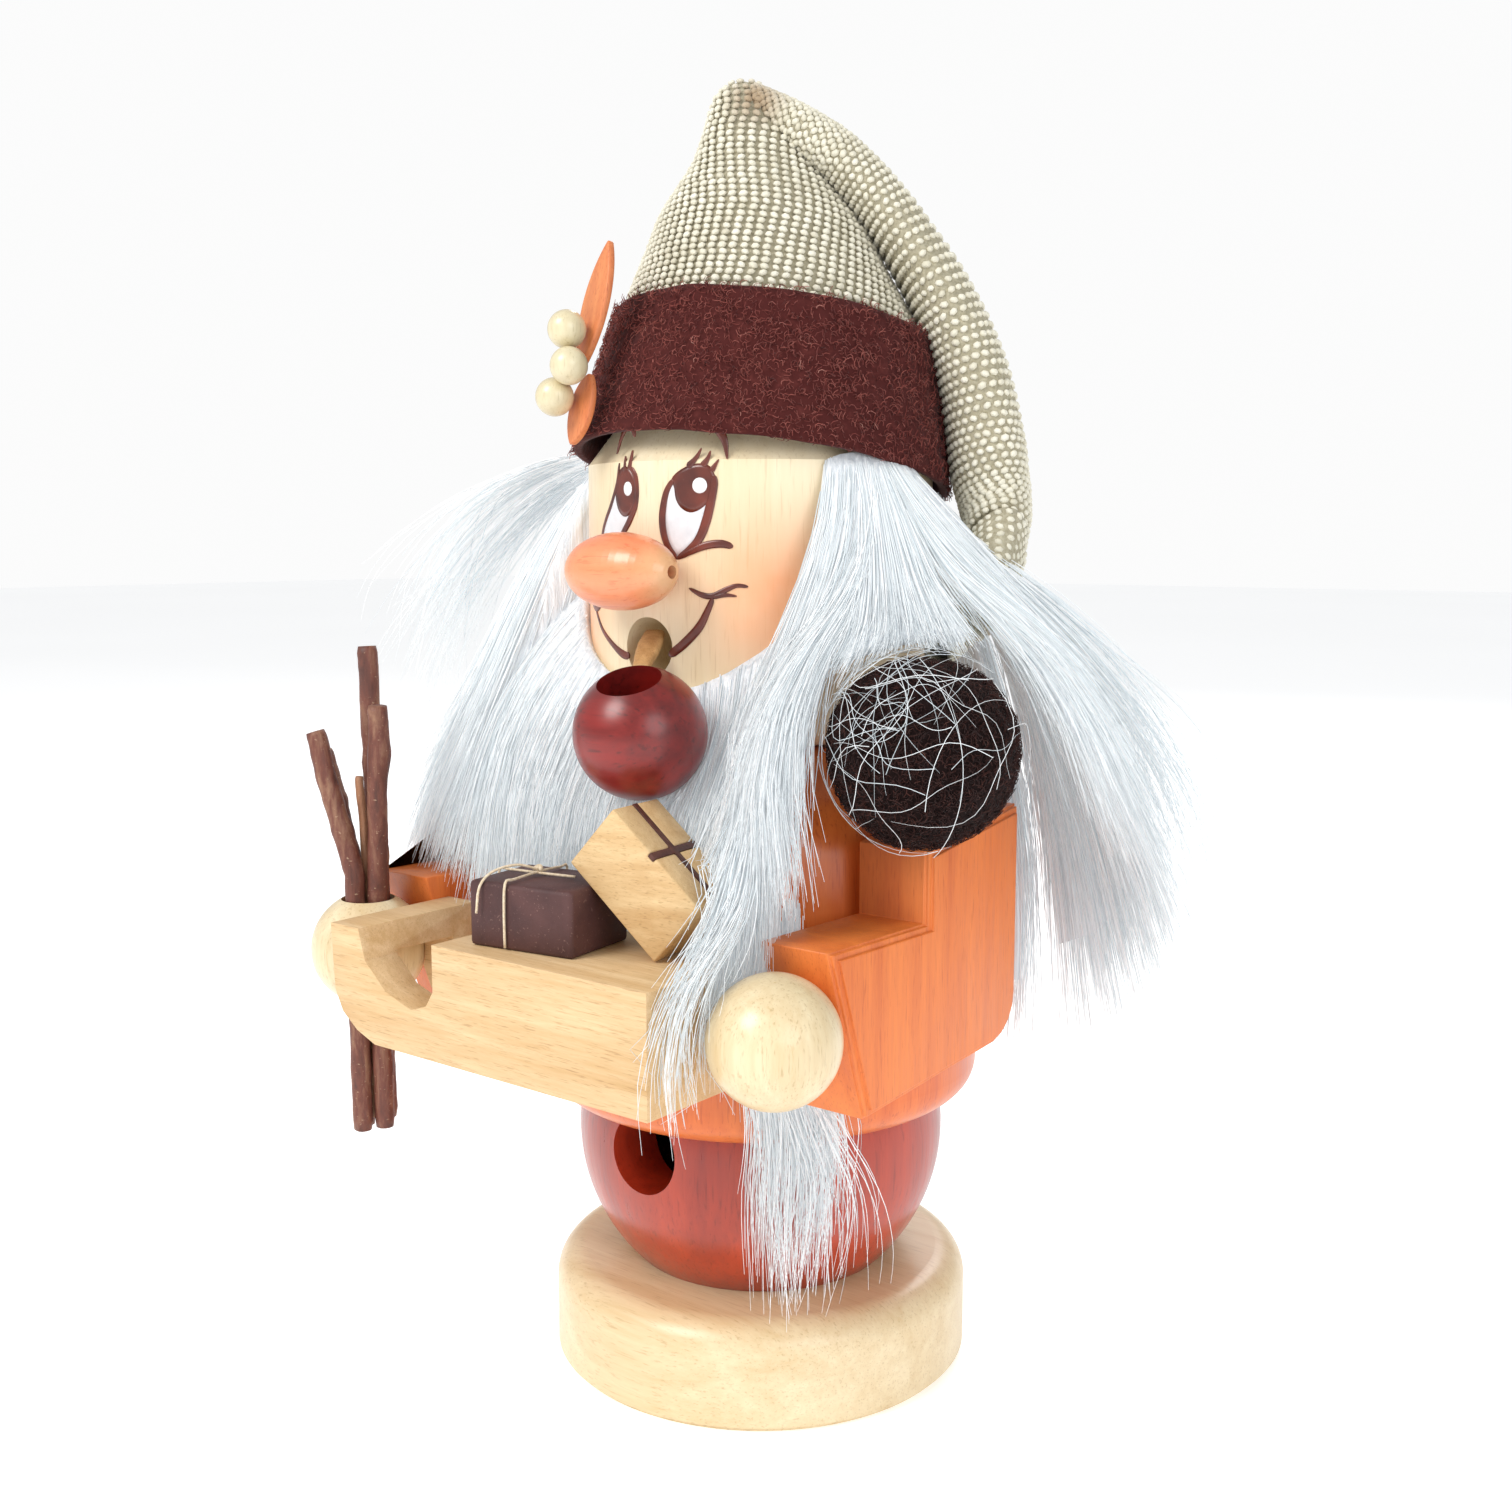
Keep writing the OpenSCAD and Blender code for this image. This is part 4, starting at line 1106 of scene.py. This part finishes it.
# What the hairs lie against, in mm: the turned body, the arms as boxes and the sledge's end.
GAP = 0.35
WAIST, SEAM, NECK = 28.0, 32.4, 75.0
ARM_IN, ARM_OUT, ARM_FRONT, ARM_BACK, ARM_LOW = 23.9, 33.4, -31.0, 4.4, 41.0
SLEDGE_FAR, SLEDGE_END, SLEDGE_BACK, SLEDGE_FRONT, SLEDGE_LOW = -24.8, 21.9, -27.6, -45.0, 43.8
BALLS = [((-HAND_X, HAND_Y, HAND_Z), 6.8), ((HAND_X, HAND_Y, HAND_Z), 6.8),
         (tuple(POMPOM), POMPOM_R + 0.5), (tuple(PIPE), 7.4)]


def turned_radius(z):
    """The radius of the base, lower body, jacket and head at each height."""
    shoulder = np.clip(z - 63.0, 0, 12)
    body = np.where(z < NECK, 14.0 + np.sqrt(np.maximum(0, 144 - shoulder ** 2)), 0)
    body = np.where(z < WAIST, 26.2, body)
    lower = np.where((z > 12) & (z < SEAM), np.sqrt(np.maximum(0, 22.0 ** 2 - (z - 27.6) ** 2)), 0)
    body = np.where(z < SEAM, lower, body)
    body = np.where(z <= 12, 25.0, body)
    head = np.where((z >= NECK) & (z < 121), HEAD_R, 0)
    chin = 15 + np.sqrt(np.maximum(0, 25 - (80 - z) ** 2))
    return np.maximum(body, np.where((z >= NECK) & (z < 80), chin, head))


def keep_clear(lines):
    """Pushes hairs out of everything they lie against."""
    p = lines.reshape(-1, 3).copy()
    for _ in range(2):
        r = np.hypot(p[:, 0], p[:, 1]) + 1e-9
        z = p[:, 2]
        scale = np.maximum(1, (turned_radius(z) + GAP) / r)
        p[:, 0] *= scale
        p[:, 1] *= scale
        for side in (-1, 1):
            x, y = p[:, 0] * side, p[:, 1]
            top = np.where(y < -14.4, 59.0, 66.5 + (y + 14.4) * 0.136) + 0.4
            inside = ((x > ARM_IN) & (x < ARM_OUT) & (y > ARM_FRONT) & (y < ARM_BACK)
                      & (z > ARM_LOW) & (z < top))
            up = np.clip(top - z, 0, 99)
            outward = ARM_OUT - x
            inward = x - ARM_IN
            lift = inside & (up < outward) & (up < inward)
            p[:, 2] += np.where(lift, up, 0)
            go_out = inside & ~lift & (outward <= inward)
            go_in = inside & ~lift & ~go_out
            p[:, 0] += np.where(go_out, outward * side, 0) - np.where(go_in, inward * side, 0)
        for centre, radius in BALLS:
            gap = p - np.array(centre)
            d = np.linalg.norm(gap, axis=1) + 1e-9
            p += gap * (np.maximum(1, radius / d) - 1)[:, None]
        # the sledge with its parcels: hairs slide off behind it, above it or past its end
        x, y, z = p[:, 0], p[:, 1], p[:, 2]
        top = np.where((x > -5.5) & (x < 24), np.where(x > 5, 66.5, 63.6), 56.8)
        inside = ((x > SLEDGE_FAR) & (x < SLEDGE_END) & (y < SLEDGE_BACK) & (y > SLEDGE_FRONT)
                  & (z > SLEDGE_LOW) & (z < top))
        back = y - SLEDGE_BACK
        end = SLEDGE_END - x
        lift = top - z
        choice = np.argmin(np.stack([-back, end, lift]), 0)
        p[:, 1] -= np.where(inside & (choice == 0), back, 0)
        p[:, 0] += np.where(inside & (choice == 1), end, 0)
        p[:, 2] += np.where(inside & (choice == 2), lift, 0)
    return p.reshape(lines.shape)


def locks(name, guides, count, seed, steps=8, thickness=0.15, stands_for=(), over_joint=False,
          **shape):
    """One piece of loose hair along its guides; each hair has its own shade of white."""
    lines = keep_clear(sheet_of_hair(guides, count, steps, seed, **shape))
    local = np.random.default_rng(seed + 500)
    tint = np.clip(local.beta(2.2, 1.6, count), 0, 1)
    piece = hairs(name, lines, thickness, fur, tint)
    if over_joint:
        return hang_over_joint(piece)
    return ride(piece, "upper", "white_fur", *stands_for)


BEARD = [
    [(-17, -11.5, 92), (-20, -16.5, 86), (-20.5, -21.5, 79),
     (-20, -25.5, 71), (-19.5, -27.5, 64), (-19.5, -28.5, 57.5)],
    [(-13, -16, 86.5), (-14.5, -20.5, 81), (-14.5, -25, 74),
     (-14, -27, 67), (-13.5, -27.4, 60), (-13, -27.2, 55)],
    [(-6.5, -19.8, 83), (-7.5, -22.5, 78), (-8, -26, 71),
     (-8, -27.3, 65), (-8, -27.4, 59), (-8, -27.2, 54)],
    [(0, -21, 81.5), (0, -22.5, 76), (0, -26, 70),
     (0, -27.3, 64), (0, -27.3, 58), (0, -27.2, 52)],
    [(7, -20, 82), (8.5, -22, 76), (9, -26, 70),
     (9, -27.5, 64), (9, -27.4, 58), (9, -27.2, 50)],
    [(13, -16.5, 85.5), (14.5, -20.5, 79), (15.5, -25, 72),
     (16.5, -28, 65), (17.5, -28, 58), (18, -27.5, 48)],
    [(16.5, -12.5, 90), (18.5, -18, 83), (20, -25, 76),
     (21.5, -31, 68), (22.6, -34.5, 60), (22.9, -36, 50)],
    [(17.5, -11, 95), (19.5, -15, 88), (21.5, -20.5, 80),
     (22.5, -26, 72), (23.2, -29.5, 63), (23.5, -31, 52)],
]
HAIR_RIGHT = [
    [(-18.2, -8, 106), (-18.8, -9.6, 97), (-19.4, -12, 88),
     (-20, -16, 79), (-21, -21, 70), (-22, -25, 61)],
    [(-18.5, -9, 105), (-21, -12.5, 97), (-22.5, -17, 87),
     (-23, -22, 77), (-23.5, -26, 68), (-24, -28.5, 60)],
    [(-20.5, -6, 106), (-25, -9.5, 98.5), (-27.5, -14, 88.5),
     (-29.5, -18, 78), (-32.5, -21, 68), (-34.5, -22.5, 60)],
    [(-21.5, -2, 106), (-28.5, -6, 98.5), (-31.5, -9.5, 89),
     (-34.5, -12.5, 79), (-38, -15, 69), (-40, -17, 60)],
    [(-21.5, 2, 105), (-28, -0.5, 98), (-32.5, -3.5, 88),
     (-36, -6, 78), (-40.5, -8.5, 68), (-43, -10.5, 60)],
    [(-21, 7, 103), (-28.5, 8, 96), (-32, 8, 86), (-34.5, 7.5, 77), (-37, 7, 68), (-39, 5, 58)],
    [(-18, 12, 99), (-22, 17, 91), (-25, 20, 81), (-27, 21, 71), (-29, 22, 60), (-30, 22, 50)],
]
HAIR_LEFT_FRONT = [
    [(17.2, -10.8, 106), (18.4, -13.8, 98), (18.4, -18.4, 89),
     (18.2, -22.4, 81), (19.4, -25.4, 72), (21, -28, 60)],
    [(18.4, -9, 106.5), (20.8, -12.8, 98.6), (21.4, -17.5, 90),
     (21.2, -22, 82), (21.6, -27, 73), (22, -30, 58)],
    [(19.4, -6.6, 106.5), (22.6, -10.8, 99.4), (23.6, -16, 92),
     (23, -22.4, 85.5), (22.6, -27.6, 77), (24, -31, 63)],
    [(20, -6, 106), (23.4, -10.8, 99.4), (24.4, -16, 92),
     (23.4, -23, 85), (24.4, -29, 76), (28.4, -31.5, 66)],
]
HAIR_LEFT_TOP = [
    [(18.8, -8, 106.5), (22.4, -11.4, 99.4), (24.6, -15.6, 92.4),
     (26, -19.4, 87.5), (25.8, -22.6, 84)],
    [(19.6, -6, 106.5), (24, -9.8, 99.8), (28, -13.4, 93),
     (31, -16.4, 88.8), (32.5, -18.5, 87.4)],
    [(20, -4.6, 106.5), (25.6, -8, 100), (30.6, -11, 93.8), (35, -13, 89.6), (38, -14.6, 87)],
]
HAIR_LEFT_BACK = [
    [(20, -4.6, 106.5), (25.6, -7, 100), (31, -8.4, 94.4),
     (37, -8, 89.6), (43, -6.5, 83), (47, -5, 73)],
    [(20.3, -3, 106.4), (26.5, -4, 99.8), (32.5, -3.4, 93.2),
     (38, -1.5, 86.4), (42.6, 2, 77), (46.6, 6, 65)],
    [(20.8, 0.5, 105), (27.5, 0.8, 98.4), (33.5, 3, 90),
     (38, 6.6, 80), (42, 11, 68.5), (45.6, 16.5, 54)],
    [(20.5, 7, 100), (25.5, 9, 93), (30.5, 11.5, 84.5),
     (34.8, 14.5, 74.5), (38.4, 17.5, 63), (41.6, 20, 49)],
    [(19.2, 9, 98), (23.6, 12, 90), (28, 14, 81), (31.6, 16, 70), (34.6, 18, 58), (37, 20, 44)],
    [(18, 12, 97), (21.5, 16, 90), (24.8, 18.4, 81),
     (27.6, 19.6, 70), (29.6, 20.6, 57), (31.4, 21.4, 38)],
]
HEM_STRAYS = [
    [(20, -26, 62), (20.5, -25.5, 50), (20.6, -23, 40),
     (21, -20.5, 31), (19, -20.5, 22), (17, -20.5, 14)],
    [(23, -24, 62), (24, -24, 50), (26, -22, 40),
     (27.5, -17, 31), (26, -13, 23), (24, -12, 16)],
]
SIDE_LOCK = [
    [(15, -24.5, 78), (17.5, -28, 70), (19.5, -31, 63),
     (22.2, -34, 57), (22.6, -37, 50), (22.4, -38, 44)],
    [(18, -25.5, 79), (20.5, -30.5, 70), (22.4, -36.5, 62.5),
     (22.8, -41, 56), (22.9, -43, 50), (22.8, -42, 43)],
    [(21, -26, 78), (23, -30.5, 69), (25.5, -36, 62),
     (24.5, -43, 56), (23.6, -44.6, 49), (23.4, -43, 42)],
]
HAIR_BACK = []
for degrees in (35, 62, 90, 118, 146, 165):
    c, s = math.cos(math.radians(degrees)), math.sin(math.radians(degrees))
    HAIR_BACK.append([(c * r, s * r, z) for r, z in ((20.8, 103), (23.5, 94), (26.5, 84),
                                                     (29.5, 72), (31.0, 60), (31.5, 48),
                                                     (31.0, 35 + 4 * abs(c)))])


def fur_mass(name, guides, finish_at=0.84, thick=1.1, over_joint=False):
    """The dense fur under the loose hairs, following the same guides."""
    steps = 18
    curves = np.array([path_points(g, steps) for g in guides])
    across = 6 * (len(guides) - 1) + 1
    grid = np.stack([path_points(curves[:, k], across) for k in range(steps)], 1)
    grid = grid[:, :int(steps * finish_at) + 1]
    for i in range(grid.shape[0]):
        for k in range(grid.shape[1]):
            v = Vector(grid[i, k])
            away = Vector((v.x, v.y, 0)).normalized()
            ripple = 0.5 * noise.noise(Vector((i * 0.7, k * 0.22, 3.0))) - 0.55
            grid[i, k] += np.array(away * ripple)
    grid = keep_clear(grid)
    source = solid(name + "_source", grid.reshape(-1, 3),
                   rings_to_faces(grid.shape[0], grid.shape[1], wrap=False, caps=False), fur_bed)
    wall = source.modifiers.new("depth", "SOLIDIFY")
    wall.thickness = thick * MM
    wall.offset = 0
    piece = baked(name, source, fur_bed)
    if over_joint:
        return hang_over_joint(piece)
    return ride(piece, "upper", "white_fur")


LOCK = [
    [(17.5, -27.5, 62), (18, -27.5, 54), (17.5, -25.5, 45),
     (17, -22.3, 36), (15.8, -21, 27), (15.3, -18.9, 15.5)],
    [(20.5, -26, 62), (20.5, -25.5, 54), (20.6, -23, 45),
     (20, -19.8, 36), (18.6, -18.6, 26), (17.5, -17.3, 16)],
    [(23, -23, 62), (22.8, -22.4, 54), (23.2, -20, 45),
     (23, -16.5, 36), (21.4, -15.8, 26), (19.6, -15.2, 16.5)],
]

for bed_name, bed_guides in (("beard_bed", BEARD), ("right_hair_bed", HAIR_RIGHT),
                             ("left_front_bed", HAIR_LEFT_FRONT), ("left_top_bed", HAIR_LEFT_TOP),
                             ("left_back_bed", HAIR_LEFT_BACK), ("back_hair_bed", HAIR_BACK)):
    fur_mass(bed_name, bed_guides, over_joint=bed_name == "left_top_bed")
locks("beard_hair_front", BEARD, 3900, 61, stands_for=("beard",), wave=0.35, along_root=0.25)
locks("beard_hair_deep", BEARD, 2200, 62, spread=1.4, short=0.5, fan=1.6, along_root=0.5)
locks("right_hair_front", HAIR_RIGHT[:5], 4200, 63, stands_for=("hair_right",), fan=2.0,
      along_root=0.3)
locks("right_hair_back", HAIR_RIGHT[2:], 2600, 64, spread=1.6, along_root=0.35)
locks("left_hair_front", HAIR_LEFT_FRONT, 3400, 65, stands_for=("hair_left",), wave=0.3,
      along_root=0.35)
locks("left_hair_top", HAIR_LEFT_TOP, 1500, 74, steps=7, fan=1.6, along_root=0.3,
      over_joint=True)
locks("left_hair_back", HAIR_LEFT_BACK, 4100, 66, fan=3.2, along_root=0.35)
locks("side_lock_hair", SIDE_LOCK, 170, 75, steps=12, fan=3.2, wave=1.2, short=0.4,
      along_root=0.15)
locks("back_hair_outer", HAIR_BACK, 4000, 67, stands_for=("hair_back",), along_root=0.35)
locks("back_hair_inner", HAIR_BACK, 1800, 68, spread=2.0, short=0.5, along_root=0.5)
locks("beard_lock_hair", LOCK, 620, 69, stands_for=("beard_lock",), steps=14, fan=2.6,
      short=0.4, wave=1.0, along_root=0.2)
locks("hem_stray_hair", HEM_STRAYS, 46, 76, steps=16, fan=2.5, wave=1.6, thickness=0.13,
      along_root=0.1)

# Stray hairs that stand off the right temple and the left side.
STRAYS_RIGHT = [
    [(-20, -8, 108), (-25, -11, 107), (-31, -14, 104),
     (-37, -16, 99), (-42, -17, 93), (-45, -17, 87)],
    [(-21, -4, 106), (-28, -5, 102), (-34, -7, 96),
     (-39, -9, 89), (-43, -11, 81), (-46, -12, 72)],
]
STRAYS_LEFT = [
    [(21, 0, 103), (28, 3, 97), (35, 8, 90), (41, 13, 82), (45, 17, 73), (47, 20, 64)],
    [(22, -2, 100), (31, 0, 94), (38, 4, 86), (44, 8, 76), (48, 12, 66), (50, 15, 56)],
]
locks("right_stray_hair", STRAYS_RIGHT, 170, 71, fan=4.5, wave=2.2, thickness=0.12, steps=14,
      along_root=0.2)
locks("left_stray_hair", STRAYS_LEFT, 190, 72, fan=4.5, wave=2.2, thickness=0.12, steps=14,
      along_root=0.2)

# ---------------------------------------------------------------- camera, floor and light
scene = bpy.context.scene
scene.view_settings.view_transform = "Standard"
camera = bpy.data.objects.new("camera", bpy.data.cameras.new("camera"))
scene.collection.objects.link(camera)
camera.data.sensor_width = 36
camera.data.lens = 39.29
camera.data.shift_x = -0.0031
camera.location = Vector((120.0, -154.1, 97.9)) * MM
camera.rotation_euler = Vector((-0.6091, 0.7821, -0.1315)).to_track_quat("-Z", "Y").to_euler()
camera.data.clip_start = 0.005
scene.camera = camera

floor_finish = Finish("studio_floor", 0.6, Emission_Color=(1, 1, 1, 1), Emission_Strength=0.42)
haze = floor_finish.noise(floor_finish.place, 3.0, 2)
floor_finish.colour(floor_finish.ramp(haze, (0.2, (0.86, 0.86, 0.86)), (0.8, (0.9, 0.9, 0.9))))
floor_mesh = bpy.data.meshes.new("floor")
floor_mesh.from_pydata([(-3, -3, 0), (3, -3, 0), (3, 3, 0), (-3, 3, 0)], [], [(0, 1, 2, 3)])
floor = link("studio_floor", floor_mesh, floor_finish)

world = bpy.data.worlds.new("studio")
scene.world = world
world.use_nodes = True
world.node_tree.nodes["Background"].inputs["Color"].default_value = (0.97, 0.985, 1.0, 1)
world.node_tree.nodes["Background"].inputs["Strength"].default_value = 0.58
backdrop = world.node_tree.nodes.new("ShaderNodeBackground")
backdrop.inputs["Color"].default_value = (0.97, 0.97, 0.97, 1)
ray = world.node_tree.nodes.new("ShaderNodeLightPath")
choose = world.node_tree.nodes.new("ShaderNodeMixShader")
world.node_tree.links.new(ray.outputs["Is Camera Ray"], choose.inputs["Fac"])
world.node_tree.links.new(world.node_tree.nodes["Background"].outputs[0], choose.inputs[1])
world.node_tree.links.new(backdrop.outputs[0], choose.inputs[2])
world.node_tree.links.new(choose.outputs[0], world.node_tree.nodes["World Output"].inputs[0])


def lamp(name, place, target, size, watts, tone=(1, 1, 1)):
    data = bpy.data.lights.new(name, "AREA")
    data.shape = "DISK"
    data.size = size
    data.energy = watts
    data.color = tone
    light = bpy.data.objects.new(name, data)
    light.location = place
    light.rotation_euler = (Vector(target) - Vector(place)).to_track_quat("-Z", "Y").to_euler()
    scene.collection.objects.link(light)


lamp("key", (-0.15, -0.55, 0.55), (0, 0, 0.08), 0.35, 3.4, (1, 0.985, 0.96))
lamp("fill", (0.6, -0.25, 0.3), (0, 0, 0.08), 0.4, 1.3, (0.96, 0.98, 1))
lamp("back", (-0.2, 0.55, 0.5), (0, 0, 0.1), 0.4, 1.8)
